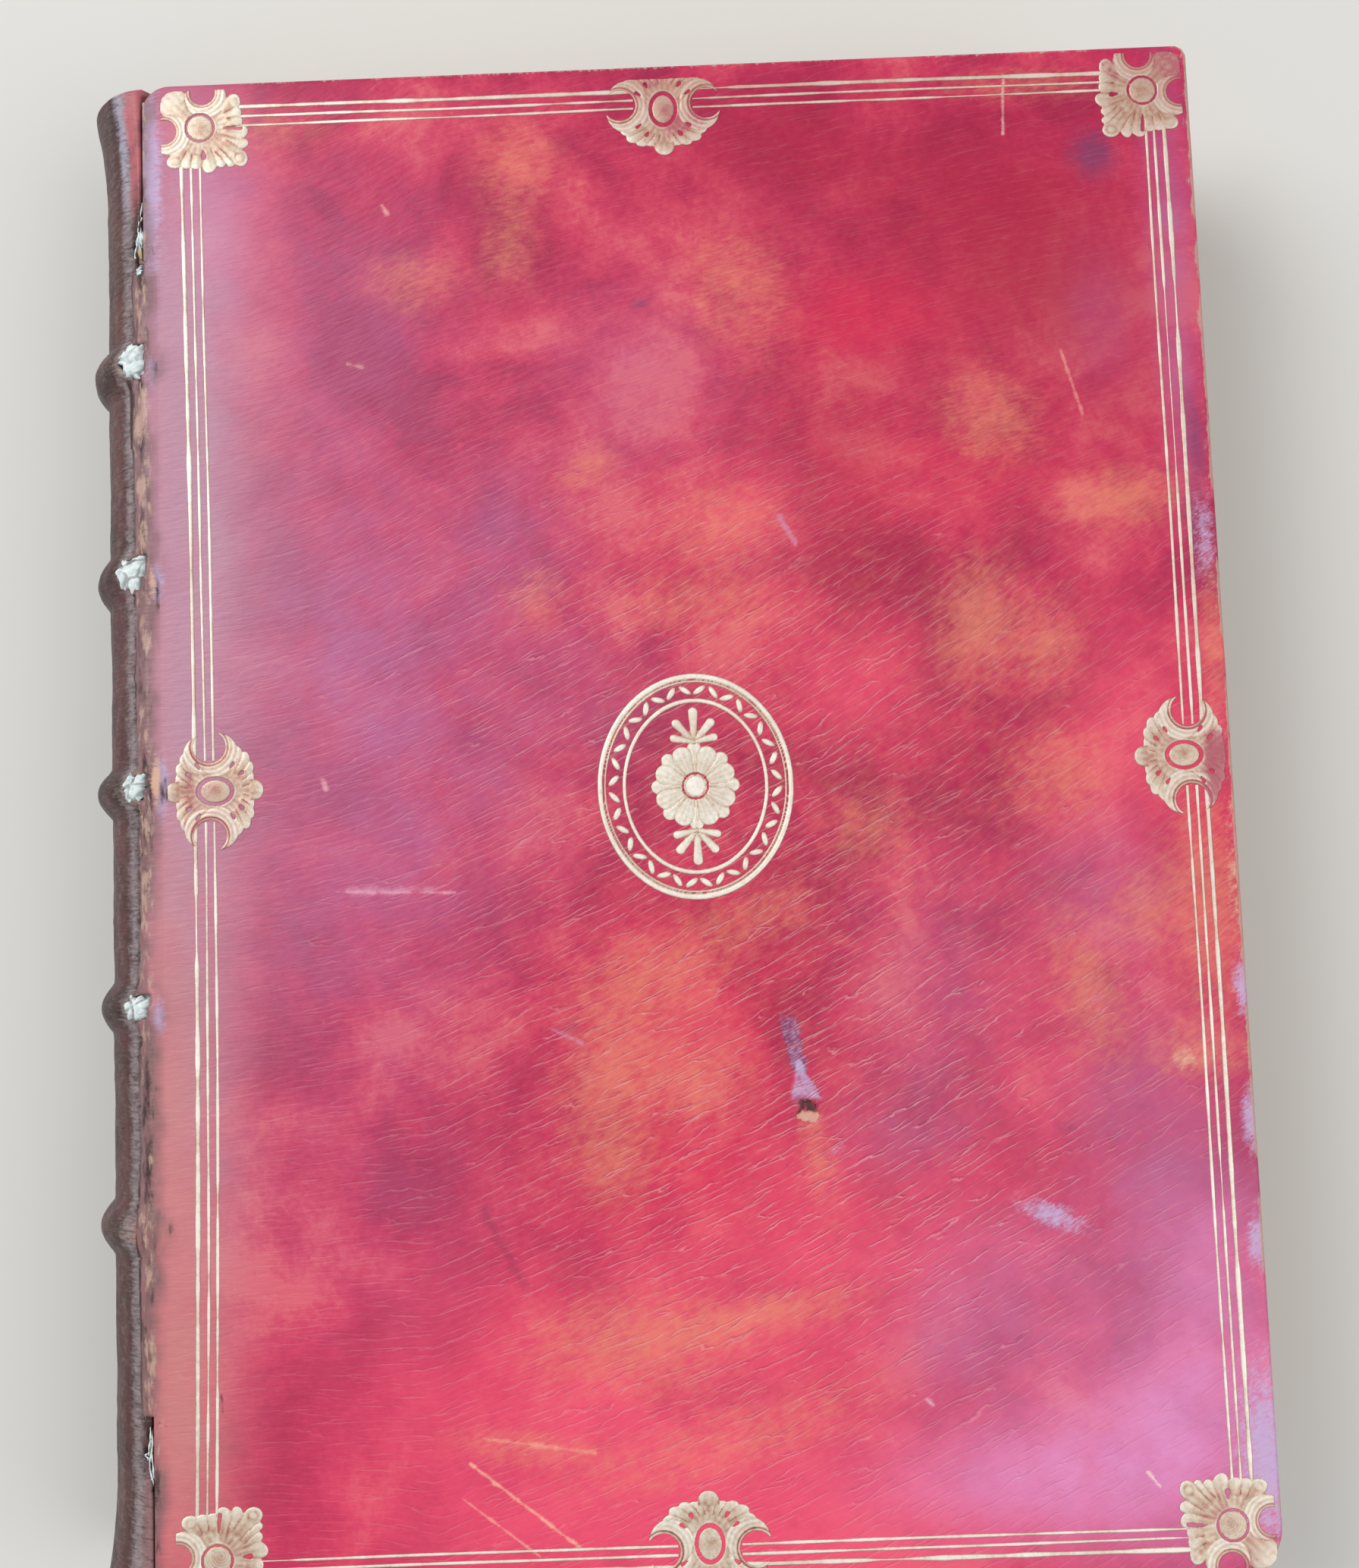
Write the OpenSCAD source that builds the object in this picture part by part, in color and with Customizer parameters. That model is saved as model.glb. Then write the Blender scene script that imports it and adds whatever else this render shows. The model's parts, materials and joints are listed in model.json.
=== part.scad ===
// Antique book in full leather over millboard, sewn on raised cords and lying closed.
// X runs from the rounded spine to the fore-edge, Y from the tail to the head, Z up.
// The origin is under the middle of the book, on the surface that it lies on.

/* [Boards] */
// Width of a cover from the joint to the fore-edge
board_w = 195; // [160:1:230]
// Height of a cover from tail to head
board_h = 275; // [250:1:320]
// Thickness of the millboard inside a cover
board_t = 3; // [2.2:0.1:4.5]
// Space between the millboard's back edge and the shoulder of the text block
board_gap = 0.5; // [0.4:0.1:0.9]
// Radius of the corners beside the head and tail caps, where the board is nipped
joint_corner_r = 5; // [2.5:0.5:8]
// Radius of the fore-edge corners
fore_corner_r = 2.2; // [1.6:0.1:6]
// Radius of the front cover's worn lower corner
worn_corner_r = 8; // [3:0.5:10]

/* [Leather] */
// Thickness of the leather on the outside
leather_t = 0.9; // [0.6:0.1:1.4]
// Thickness of the pared leather turned in over the inside of a board
turn_in_t = 0.5; // [0.35:0.05:0.8]
// Width of the turn-ins at head, tail and fore-edge
turn_in_w = 14; // [9:1:20]
// Rounding of the covered edges of a board
edge_r = 0.8; // [0.4:0.1:1.2]
// Width of the hinge of leather between the spine's edge and the cover's edge
joint_gap = 0.6; // [0.5:0.1:0.8]

/* [Text block] */
// Thickness of the pressed pages
block_t = 28.2; // [20:0.2:44]
// How far a cover stands past the pages at head, tail and fore-edge
square_w = 3.5; // [2.8:0.1:5]
// Depth of the hollow in the fore-edge
fore_hollow = 5; // [3:0.5:8]
// Thickness of a free endpaper
endpaper_t = 0.25; // [0.15:0.05:0.4]
// Thickness of a pasted endpaper
pastedown_t = 0.3; // [0.15:0.05:0.35]
// Air between a closed cover's turn-ins and the endpaper below them
page_gap = 0.25; // [0.2:0.05:0.4]

/* [Spine] */
// How far the spine between its bands stands out past the joint
spine_bulge = 10.7; // [8:0.1:13]
// How far the spine's edge lies below the cover's face at the joint
joint_drop = 0.4; // [0.35:0.05:0.8]
// Thickness of the paper lining between two cords
lining_t = 0.3; // [0.2:0.05:0.5]
// Number of raised bands
band_count = 5; // [3:1:5]
// Spacing of the raised bands
band_pitch = 39.4; // [30:0.2:44]
// How far the middle band lies from mid-height, towards the head
band_shift = 6; // [0:0.5:8]
// Width of a raised band at its foot
band_w = 9.4; // [7:0.2:12]
// Height of a raised band over the panels beside it
band_h = 2.6; // [1.6:0.1:3.4]
// How far the spine flares out at its caps
end_flare = 2.2; // [0:0.1:2.6]
// Length over which the spine flares
flare_len = 22; // [12:1:28]
// How far a cap ends short of the covers' head and tail edges
cap_inset = 0.2; // [0:0.1:0.6]
// Depth of the leather lip that hoods an endband
cap_depth = 3; // [2.4:0.1:4]

/* [Sewing] */
// Diameter of an endband
endband_d = 2; // [1.4:0.1:2.2]
// Half the angle over which an endband follows the spine
endband_half_angle = 48; // [30:1:50]
// Width of a cord where it is laced through a board
slip_w = 4.6; // [3:0.2:6]
// Depth of the groove that takes a laced cord on a board's outside
slip_t = 1.3; // [0.8:0.1:1.6]
// Distance of the lacing hole from the joint
slip_reach = 9; // [7:0.5:14]
// Length of the frayed cord end on a board's inside
fray_len = 11; // [6:1:20]
// Width of the frayed cord end
fray_w = 12; // [7:1:18]
// Thickness of the frayed cord end
fray_t = 0.5; // [0.3:0.05:0.8]

/* [Wear] */
// How far the leather is rubbed away from the joint at the first band
worn_reach_1 = 4; // [0:0.5:6]
// How far it is rubbed away at the second band
worn_reach_2 = 5; // [0:0.5:6]
// How far it is rubbed away at the third band
worn_reach_3 = 3.6; // [0:0.5:6]
// How far it is rubbed away at the fourth band
worn_reach_4 = 3.8; // [0:0.5:6]
// Height of a rubbed place along the joint
worn_len = 7; // [4:0.5:9]

/* [Gilt tooling] */
// Distance of the outer line from the fore-edge, head and tail
fillet_inset = 4.5; // [3:0.1:8]
// Distance of the outer line from the joint
fillet_joint_inset = 7; // [4:0.1:10]
// Width of the outer line
outer_line_w = 0.8; // [0.5:0.05:1]
// Width of the middle and inner lines
inner_line_w = 0.5; // [0.3:0.05:0.8]
// Distance from the outer line's edge to the middle line's edge
middle_line_step = 2; // [1.6:0.1:2.6]
// Distance from the middle line's edge to the inner line's edge
inner_line_step = 1.6; // [1.2:0.1:2.2]
// Depth of the tooling pressed into the leather
tooling_depth = 0.15; // [0.12:0.01:0.25]
// Thickness of the gold in the tooling
gilt_t = 0.08; // [0.05:0.01:0.1]
// Length of a corner ornament's diagonal leaf from its boss
corner_leaf = 10.9; // [8:0.1:13]
// Radius of a corner ornament's boss
corner_boss_r = 2.4; // [1.8:0.1:2.8]
// Length of an edge ornament's middle lobe from its boss
edge_leaf = 8.9; // [7:0.1:9.4]
// Half the width of an edge ornament's boss
edge_boss_r = 2.05; // [1.6:0.05:2.4]
// How far the ornaments on the joint side and the fore-edge lie above mid-height
side_ornament_shift = 4.7; // [0:0.1:8]
// How far the head ornament lies from the middle towards the joint
head_ornament_shift = 1.3; // [0:0.1:4]
// How far the tail ornament lies from the middle towards the joint
tail_ornament_shift = 2.4; // [0:0.1:4]
// Width of the medallion on each cover
medal_w = 35.2; // [28:0.2:44]
// Height of the medallion
medal_h = 40.6; // [32:0.2:50]
// How far the medallion's middle lies above mid-height
medal_shift = 2.4; // [0:0.1:5]
// Width of the medallion's rings
medal_line_w = 0.9; // [0.6:0.1:1.2]
// Width of the medallion's border between its rings
medal_border = 3.6; // [3:0.1:4.4]
// Number of beads in the medallion's border
medal_beads = 36; // [24:2:44]

/* [Hidden] */
$fn = 64;
RED = "#b52c46";
BROWN = "#4a2f2a";
GOLD = "#dccf9c";
PAPER = "#e4d9bd";
BOARD = "#b49b78";
HEMP = "#d9d8d0";
SILK = "#b8a27a";
// Clearance between glued pieces that are modelled apart
fit = 0.05;
// Overshoot of a cut past the face that it opens
over = 1;
cover_t = leather_t + board_t + turn_in_t;
block_half = block_t / 2 + endpaper_t;
stack_half = block_half + page_gap + cover_t;
board_face = stack_half - leather_t;
board_back = board_face - board_t;
page_w = board_w - square_w;
page_h = board_h - 2 * square_w;
// The spine's arc passes through both joint edges and the top of its bulge
edge_z = stack_half - joint_drop;
edge_u = -joint_gap / 2;
arc_rise = spine_bulge + edge_u;
spine_r = (edge_z * edge_z + arc_rise * arc_rise) / (2 * arc_rise);
arc_u = spine_r - spine_bulge;
arc_half = atan2(edge_z, arc_u - edge_u);
arc_len = spine_r * arc_half * PI / 180;
block_r = spine_r - leather_t - lining_t;
spine_half = board_h / 2 - cap_inset;
lip_start = page_h / 2 + endband_d + 2 * fit;
// The book's middle across its whole width, bands included
mid_u = (board_w - spine_bulge - band_h) / 2;
worn_reach = [worn_reach_1, worn_reach_2, worn_reach_3, worn_reach_4];
fore_r = (pow(block_t / 2, 2) + pow(fore_hollow, 2)) / (2 * fore_hollow);
medal_u = (fillet_joint_inset + board_w - fillet_inset) / 2;
frame_w = board_w - fillet_inset - fillet_joint_inset;
frame_h = board_h - 2 * fillet_inset;
// How far the edge ornaments go towards the board's edge: worn short at head and tail
end_cut = 0.66 * edge_leaf;
joint_cut = 0.96 * edge_leaf;
fore_cut = 0.83 * edge_leaf;
triple_w = middle_line_step + inner_line_step + inner_line_w;
// Steps across half a band, as shares of half its width
band_steps = [-1, -0.85, -0.6, -0.3, 0, 0.3, 0.6, 0.85, 1];
cord_steps = [-0.8, -0.6, -0.3, 0, 0.3, 0.6, 0.8];
spine_steps = 20;
cord_arc_steps = 14;

// Height of band number i, counted from the head
function band_y(i) = band_shift + ((band_count - 1) / 2 - i) * band_pitch;

// Height of the bands over the plain spine at the height y
function band_rise(y) = band_h * max([
    for (i = [0:band_count - 1])
        let (s = 2 * (y - band_y(i)) / band_w)
        abs(s) < 1 ? pow(1 - s * s, 1.3) : 0
]);

// Height of the flare at the caps, a square law over its length
function flare_rise(y) = end_flare * pow(max(0, (abs(y) - spine_half + flare_len) / flare_len), 2);

// Bands and flare die away towards the joints, at k = -1 and k = 1
function rise(k, y) = (band_rise(y) + flare_rise(y)) * (1 - pow(abs(k), 5));

// Share of the arc that is left in front of the rubbed places, at the height y
function front_edge(y) = 1 - max([
    for (i = [0:min(band_count, len(worn_reach)) - 1])
        let (s = 2 * (y - band_y(i)) / worn_len)
        abs(s) < 1 ? worn_reach[i] * sqrt(1 - s * s) : 0
]) / arc_len;

// Point on the spine at k of its half arc, lifted over the plain spine
function spine_point(k, y, lift) = [
    arc_u - (spine_r + lift) * cos(k * arc_half),
    y,
    (spine_r + lift) * sin(k * arc_half)
];

// Closed ring of the spine at the height y, out along one lift and back along the other
function spine_ring(y, k_front, steps, outer, inner) = concat(
    [for (j = [0:steps]) let (k = -1 + j * (1 + k_front) / steps)
        spine_point(k, y, outer + rise(k, y))],
    [for (j = [steps:-1:0]) let (k = -1 + j * (1 + k_front) / steps)
        spine_point(k, y, min(inner[0] + inner[1] * rise(k, y), outer + rise(k, y) - fit))]
);

// Points of an ellipse
function ellipse(rx, ry, n = 72) = [for (i = [0:n - 1]) [rx * cos(i * 360 / n), ry * sin(i * 360 / n)]];

// Everything is drawn about the mid-plane of the book with the joint at x = 0
module seated() {
    translate([-mid_u, 0, stack_half]) children();
}

module on_side(side) {
    seated() mirror([0, 0, side == "back" ? 1 : 0]) children();
}

// A section in X and Z, carried along Y
module along_y(length) {
    rotate([90, 0, 0]) linear_extrude(height = length, center = true) children();
}

// Skin through closed rings of the same number of points, each a strip out and back
module loft(rings) {
    n = len(rings[0]);
    last = len(rings) - 1;
    polyhedron(
        points = [for (ring = rings, p = ring) p],
        faces = concat(
            [for (j = [0:n / 2 - 2]) each [[j, j + 1, n - 2 - j], [j, n - 2 - j, n - 1 - j]]],
            [for (j = [0:n / 2 - 2]) let (e = last * n)
                each [[e + j, e + n - 2 - j, e + j + 1], [e + j, e + n - 1 - j, e + n - 2 - j]]],
            [for (i = [0:last - 1], j = [0:n - 1]) [i * n + j, (i + 1) * n + j, i * n + (j + 1) % n]],
            [for (i = [0:last - 1], j = [0:n - 1])
                [i * n + (j + 1) % n, (i + 1) * n + j, (i + 1) * n + (j + 1) % n]]
        )
    );
}

// What a round corner of radius r leaves of its square
module corner_waste(r) {
    difference() {
        square(r + over);
        circle(r);
    }
}

// Rectangle from the joint side at u0 to u1, with its four corner radii
module round_plan(u0, u1, half_h, joint_r, head_r, tail_r) {
    difference() {
        translate([u0, -half_h]) square([u1 - u0, 2 * half_h]);
        translate([u1 - head_r, half_h - head_r]) corner_waste(head_r);
        translate([u1 - tail_r, tail_r - half_h]) mirror([0, 1]) corner_waste(tail_r);
        translate([u0 + joint_r, half_h - joint_r]) mirror([1, 0]) corner_waste(joint_r);
        translate([u0 + joint_r, joint_r - half_h]) rotate(180) corner_waste(joint_r);
    }
}

// Radius of a cover's corner at the tail and the fore-edge
function tail_corner(side) = side == "front" ? worn_corner_r : fore_corner_r;

// Pages: rounded and backed at the spine, hollow at the fore-edge
module text_block() {
    color(PAPER) seated() along_y(page_h) difference() {
        union() {
            translate([0, -block_t / 2]) square([page_w, block_t]);
            intersection() {
                translate([arc_u, 0]) circle(block_r, $fn = 128);
                translate([-block_r, -block_r]) square([block_r, 2 * block_r]);
            }
        }
        translate([page_w + fore_r - fore_hollow, 0]) circle(fore_r, $fn = 128);
    }
}

// Loose half of an endpaper, on the first or the last page
module free_endpaper(side) {
    color(PAPER) on_side(side) translate([board_gap, -page_h / 2, block_t / 2])
        cube([page_w - board_gap, page_h, endpaper_t]);
}

// Cord across the back of the sections, flattened where it reaches the shoulders
module sewing_cord(i) {
    inner = fit - leather_t - lining_t;
    color(HEMP) seated() loft([
        for (s = cord_steps)
            spine_ring(band_y(i) + s * band_w / 2, 1, cord_arc_steps, -leather_t - fit, [inner, 0])
    ]);
}

// Paper strips pasted on the back between the cords
module spine_lining() {
    edges = concat([page_h / 2], [for (i = [0:band_count - 1]) each [
        band_y(i) + band_w / 2, band_y(i) - band_w / 2]], [-page_h / 2]);
    color(PAPER) seated() for (i = [0:band_count])
        translate([0, (edges[2 * i] + edges[2 * i + 1]) / 2, 0])
            along_y(edges[2 * i] - edges[2 * i + 1]) intersection() {
                difference() {
                    translate([arc_u, 0]) circle(block_r + lining_t - fit, $fn = 128);
                    translate([arc_u, 0]) circle(block_r + fit, $fn = 128);
                }
                translate([-2 * spine_r, -spine_r]) square([2 * spine_r + edge_u, 2 * spine_r]);
            }
}

// Silk-covered core along the back of the head or the tail
module endband(end) {
    color(SILK) seated() translate([arc_u, end * (page_h + endband_d) / 2 + end * fit, 0])
        rotate([90, 0, 0]) rotate([0, 0, 180 - endband_half_angle])
            rotate_extrude(angle = 2 * endband_half_angle)
                translate([block_r - endband_d / 2 - fit, 0]) circle(endband_d / 2, $fn = 24);
}

// Leather moulded over the bands, hooded over both endbands and rubbed through at the joint
module spine_leather() {
    plain = -leather_t;
    flare = [for (t = [0, 0.2, 0.45, 0.7]) t];
    lip = [lip_start - 2 * fit, lip_start];
    ends = concat([for (t = flare) spine_half - flare_len * (1 - t)], lip);
    stations = concat(
        [-spine_half],
        [for (j = [len(ends) - 1:-1:0]) -ends[j]],
        [for (i = [band_count - 1:-1:0]) each concat(
            [for (s = band_steps) band_y(i) + s * band_w / 2],
            i > 0 ? [band_y(i) + band_pitch / 2] : [])],
        ends,
        [spine_half]
    );
    color(BROWN) seated() loft([
        for (y = stations)
            let (hooded = abs(y) > lip_start - fit)
            let (tip = abs(y) > spine_half - fit)
            spine_ring(y, front_edge(y), spine_steps, tip ? -leather_t / 2 : 0,
                hooded ? [-cap_depth, 0] : [plain, 1])
    ]);
}

// Solid outer form of a covered board, with rounded edges
module cover_form(side) {
    z0 = stack_half - cover_t;
    intersection() {
        translate([0, 0, z0]) linear_extrude(height = cover_t)
            round_plan(joint_gap / 2, board_w, board_h / 2, joint_corner_r, fore_corner_r,
                tail_corner(side));
        along_y(board_h + 2 * over) difference() {
            translate([0, z0]) square([board_w, cover_t]);
            translate([board_w - edge_r, stack_half - edge_r]) corner_waste(edge_r);
            translate([board_w - edge_r, z0 + edge_r]) mirror([0, 1]) corner_waste(edge_r);
        }
        rotate([90, 0, 90]) linear_extrude(height = board_w + over) difference() {
            translate([-board_h / 2, z0]) square([board_h, cover_t]);
            for (m = [0, 1]) mirror([m, 0]) {
                translate([board_h / 2 - edge_r, stack_half - edge_r]) corner_waste(edge_r);
                translate([board_h / 2 - edge_r, z0 + edge_r]) mirror([0, 1]) corner_waste(edge_r);
            }
        }
    }
}

// Outline of the millboard, one leather thickness inside the cover
module board_plan(side, u0) {
    round_plan(u0, board_w - leather_t, board_h / 2 - leather_t,
        joint_corner_r - leather_t, fore_corner_r - leather_t, tail_corner(side) - leather_t);
}

// Flat part of a cover's face, inside its rounded edges
module flat_face(side) {
    round_plan(joint_gap / 2 + edge_r, board_w - edge_r, board_h / 2 - edge_r, joint_corner_r - edge_r,
        fore_corner_r - edge_r, tail_corner(side) - edge_r);
}

// Leather over the outside of a board, turned in over its inside on three edges
module cover_leather(side) {
    window_h = board_h - 2 * turn_in_w;
    color(RED) on_side(side) difference() {
        cover_form(side);
        translate([0, 0, board_back]) linear_extrude(height = board_t) {
            board_plan(side, joint_gap / 2 + leather_t);
            translate([-over, joint_corner_r - board_h / 2])
                square([over + joint_corner_r + leather_t, board_h - 2 * joint_corner_r]);
        }
        translate([-over, -window_h / 2, board_back - turn_in_t - over])
            cube([board_w - turn_in_w + over, window_h, turn_in_t + 2 * over]);
        translate([0, 0, stack_half - tooling_depth]) linear_extrude(height = tooling_depth + over)
            intersection() {
                flat_face(side);
                union() {
                    fillets();
                    corner_ornaments();
                    edge_ornaments();
                    medallion();
                }
            }
    }
}

// One cord end: in its groove, through the board and frayed out on the inside
module slip_form(i, play) {
    translate([0, band_y(i), 0]) {
        translate([board_gap - 2 * play, -slip_w / 2 - play, board_face - slip_t - play])
            cube([slip_reach - board_gap + 2 * play, slip_w + 2 * play, slip_t + 2 * play]);
        translate([slip_reach, 0, board_back - play])
            cylinder(d = slip_w + 2 * play, h = board_t + 2 * play);
        translate([0, 0, board_back - play]) linear_extrude(height = fray_t + 2 * play)
            polygon([
                [slip_reach, -slip_w / 2 - play],
                [slip_reach + fray_len + play, -fray_w / 2 - play],
                [slip_reach + fray_len + play, fray_w / 2 + play],
                [slip_reach, slip_w / 2 + play]
            ]);
    }
}

module cord_slip(side, i) {
    color(HEMP) on_side(side) intersection() {
        slip_form(i, 0);
        translate([board_gap, -board_h / 2, board_back]) cube([board_w / 2, board_h, board_t]);
    }
}

// Millboard, grooved and drilled for the cords
module board(side) {
    color(BOARD) on_side(side) difference() {
        translate([0, 0, board_back]) linear_extrude(height = board_t) intersection() {
            board_plan(side, joint_gap / 2 + leather_t);
            translate([board_gap, -board_h / 2]) square([board_w, board_h]);
        }
        for (i = [0:band_count - 1]) slip_form(i, fit);
    }
}

// Pasted half of an endpaper, inside the turn-ins
module pastedown(side) {
    paste_h = board_h - 2 * turn_in_w - 2 * fit;
    first_u = joint_gap / 2 + leather_t + fit;
    color(PAPER) on_side(side) translate([first_u, -paste_h / 2, board_back - pastedown_t])
        cube([board_w - turn_in_w - first_u - fit, paste_h, pastedown_t]);
}

// Area inside the outer gilt line, drawn in by a distance
module ruled_area(inset) {
    translate([fillet_joint_inset + inset, inset - frame_h / 2])
        square([frame_w - 2 * inset, frame_h - 2 * inset]);
}

module ruled_line(inset, line_w) {
    difference() {
        ruled_area(inset);
        ruled_area(inset + line_w);
    }
}

// Triple lines, stopped where they meet the ornaments
module fillets() {
    difference() {
        union() {
            ruled_line(0, outer_line_w);
            ruled_line(middle_line_step, inner_line_w);
            ruled_line(middle_line_step + inner_line_step, inner_line_w);
        }
        at_corners() corner_outline();
        at_ends() edge_outline(end_cut);
        at_joint_side() edge_outline(joint_cut);
        at_fore_edge() edge_outline(fore_cut);
    }
}

// Round-ended lobe that starts root from the ornament's middle, root_w wide there
module lobe(angle, reach, width, root = 0, root_w = 0) {
    start_w = root_w > 0 ? root_w : width / 2;
    rotate(angle) {
        translate([reach - width / 2, 0]) circle(width / 2, $fn = 20);
        polygon([[root, -start_w / 2], [reach - width / 2, -width / 2], [reach - width / 2, width / 2],
            [root, start_w / 2]]);
    }
}

// Each corner's ornament, with +X and +Y running into the board along the lines
module at_corners() {
    for (mu = [0, 1], mv = [0, 1])
        translate([mu == 0 ? fillet_joint_inset + triple_w : board_w - fillet_inset - triple_w,
            (mv == 0 ? -1 : 1) * (frame_h / 2 - triple_w)])
            mirror([mu, 0]) mirror([0, mv]) children();
}

// Leafy square: a lobed leaf on the diagonal, petals and a leaf over each pair of lines and a
// flared outer corner, with a round bite in each outer side that a horn goes round
module corner_outline() {
    r = corner_leaf / 10.9;
    intersection() {
        translate([-7.3 * r, -7.3 * r]) square(20 * r);
        difference() {
            union() {
                circle(4.8 * r, $fn = 48);
                for (m = [0, 1]) mirror([m, -m]) {
                    translate([1.2 * r, -5.7 * r]) circle(3.9 * r, $fn = 48);
                    lobe(-39, 8.4 * r, 2.5 * r, 2.4 * r, 2 * r);
                    lobe(-23, 8.2 * r, 1.5 * r, 3 * r, 1.4 * r);
                    lobe(-9, 8.2 * r, 1.9 * r, 2.6 * r, 1.8 * r);
                    lobe(14, 8.8 * r, 2.3 * r, 3 * r, r);
                    lobe(27, 9.3 * r, 1.5 * r, 3.6 * r, r);
                    lobe(36, 10.8 * r, 1.9 * r, 4 * r, 1.5 * r);
                }
                lobe(45, 9.7 * r, 1.7 * r, 2.8 * r, 1.2 * r);
                lobe(-135, 10.2 * r, 6 * r, r, 4.4 * r);
            }
            for (m = [0, 1]) mirror([m, -m]) translate([0.55 * r, -6.8 * r]) circle(2.35 * r, $fn = 32);
        }
    }
}

// Pressed ring round a boss
module boss_groove(rx, ry, groove) {
    difference() {
        polygon(ellipse(rx + groove, ry + groove, 40));
        polygon(ellipse(rx, ry, 40));
    }
}

module corner_ornaments() {
    at_corners() difference() {
        corner_outline();
        boss_groove(corner_boss_r, corner_boss_r, 0.42);
    }
}

// Places of the edge ornaments, with +Y running into the board
module at_ends() {
    translate([medal_u - head_ornament_shift, frame_h / 2 - triple_w]) mirror([0, 1]) children();
    translate([medal_u - tail_ornament_shift, triple_w - frame_h / 2]) children();
}

module at_joint_side() {
    translate([fillet_joint_inset + triple_w, side_ornament_shift]) rotate(-90) children();
}

module at_fore_edge() {
    translate([board_w - fillet_inset - triple_w, side_ornament_shift]) rotate(90) children();
}

// Shell of petals over an oval boss, with a horn over each pair of lines; it ends at the
// distance cut towards the board's edge
module edge_outline(cut) {
    r = edge_leaf / 9;
    intersection() {
        translate([-12 * r, -cut]) square([24 * r, cut + 12 * r]);
        difference() {
            union() {
                polygon(ellipse(5.2 * r, 5.8 * r, 48));
                for (m = [0, 1], up = [0, 1]) mirror([m, 0]) mirror([0, up]) {
                    lobe(33, 8.9 * r, 1.8 * r, 2.6 * r, 2 * r);
                    lobe(45, 9 * r, 1.9 * r, 2.6 * r, 1.8 * r);
                    lobe(59, 8.8 * r, 1.9 * r, 2.8 * r, 1.6 * r);
                    lobe(73, 8 * r, 1.8 * r, 3.2 * r, 1.4 * r);
                }
                for (up = [0, 1]) mirror([0, up]) lobe(90, edge_leaf, 3.9 * r, 4.6 * r, 3.4 * r);
                for (m = [0, 1]) mirror([m, 0]) {
                    translate([6.7 * r, 0.45 * r]) circle(3.95 * r, $fn = 48);
                    translate([6.7 * r, -2.1 * r]) circle(3.7 * r, $fn = 48);
                }
            }
            for (m = [0, 1]) mirror([m, 0]) translate([8.15 * r, -r]) circle(2.95 * r, $fn = 48);
        }
    }
}

module edge_ornament(cut) {
    difference() {
        edge_outline(cut);
        boss_groove(edge_boss_r, 1.32 * edge_boss_r, 0.6);
    }
}

module edge_ornaments() {
    at_ends() edge_ornament(end_cut);
    at_joint_side() edge_ornament(joint_cut);
    at_fore_edge() edge_ornament(fore_cut);
}

module oval_ring(rx, ry, line_w) {
    difference() {
        polygon(ellipse(rx, ry));
        polygon(ellipse(rx - line_w, ry - line_w));
    }
}

// Beaded oval frame round an eight-petalled rosette between two sprays of leaves
module medallion() {
    rx = medal_w / 2;
    ry = medal_h / 2;
    inner_rx = rx - medal_line_w - medal_border;
    inner_ry = ry - medal_line_w - medal_border;
    bead_rx = (rx - medal_line_w + inner_rx) / 2;
    bead_ry = (ry - medal_line_w + inner_ry) / 2;
    petal = 0.62 * (inner_rx - medal_line_w);
    spray = inner_ry - medal_line_w - petal;
    translate([medal_u, medal_shift]) {
        oval_ring(rx, ry, medal_line_w);
        oval_ring(inner_rx, inner_ry, medal_line_w);
        for (i = [0:medal_beads - 1]) let (a = (i + 0.5) * 360 / medal_beads)
            translate([bead_rx * cos(a), bead_ry * sin(a)]) circle(0.26 * medal_border, $fn = 14);
        difference() {
            for (i = [0:7]) lobe(22.5 + i * 45, petal, 0.46 * petal);
            circle(0.3 * petal, $fn = 32);
        }
        circle(0.22 * petal, $fn = 32);
        for (m = [0, 1]) mirror([0, m]) translate([0, petal + 0.04 * spray])
            for (a = [90, 50, 130]) lobe(a, (a == 90 ? 0.86 : 0.72) * spray, 0.26 * spray);
    }
}

// Gold lying in the tooling, just under the face of the leather
module gilt(side) {
    color(GOLD) on_side(side) translate([0, 0, stack_half - tooling_depth])
        linear_extrude(height = gilt_t) intersection() {
            flat_face(side);
            children();
        }
}

text_block();
for (side = ["front", "back"]) {
    free_endpaper(side);
    board(side);
    cover_leather(side);
    pastedown(side);
    gilt(side) fillets();
    gilt(side) corner_ornaments();
    gilt(side) edge_ornaments();
    gilt(side) medallion();
    for (i = [1:band_count])
        cord_slip(side, i - 1);
}
for (i = [1:band_count]) sewing_cord(i - 1);
spine_lining();
endband(1);  // head_endband
endband(-1);  // tail_endband
spine_leather();
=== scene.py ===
"""Looks of an antique book in full leather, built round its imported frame.

The covers are crimson goatskin with worn gold tooling, the spine is darkened and rubbed
through to its cords at the front joint, and the page edges are plain aged paper. Lengths
are in millimetres until a mesh is made.
"""

from __future__ import annotations

import json
import logging
import math
from dataclasses import astuple, dataclass, field, replace
from enum import Enum
from functools import partial, reduce
from typing import Callable, Iterable, Sequence

import bmesh
import bpy
import numpy as np
from mathutils import Matrix, Vector

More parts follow.
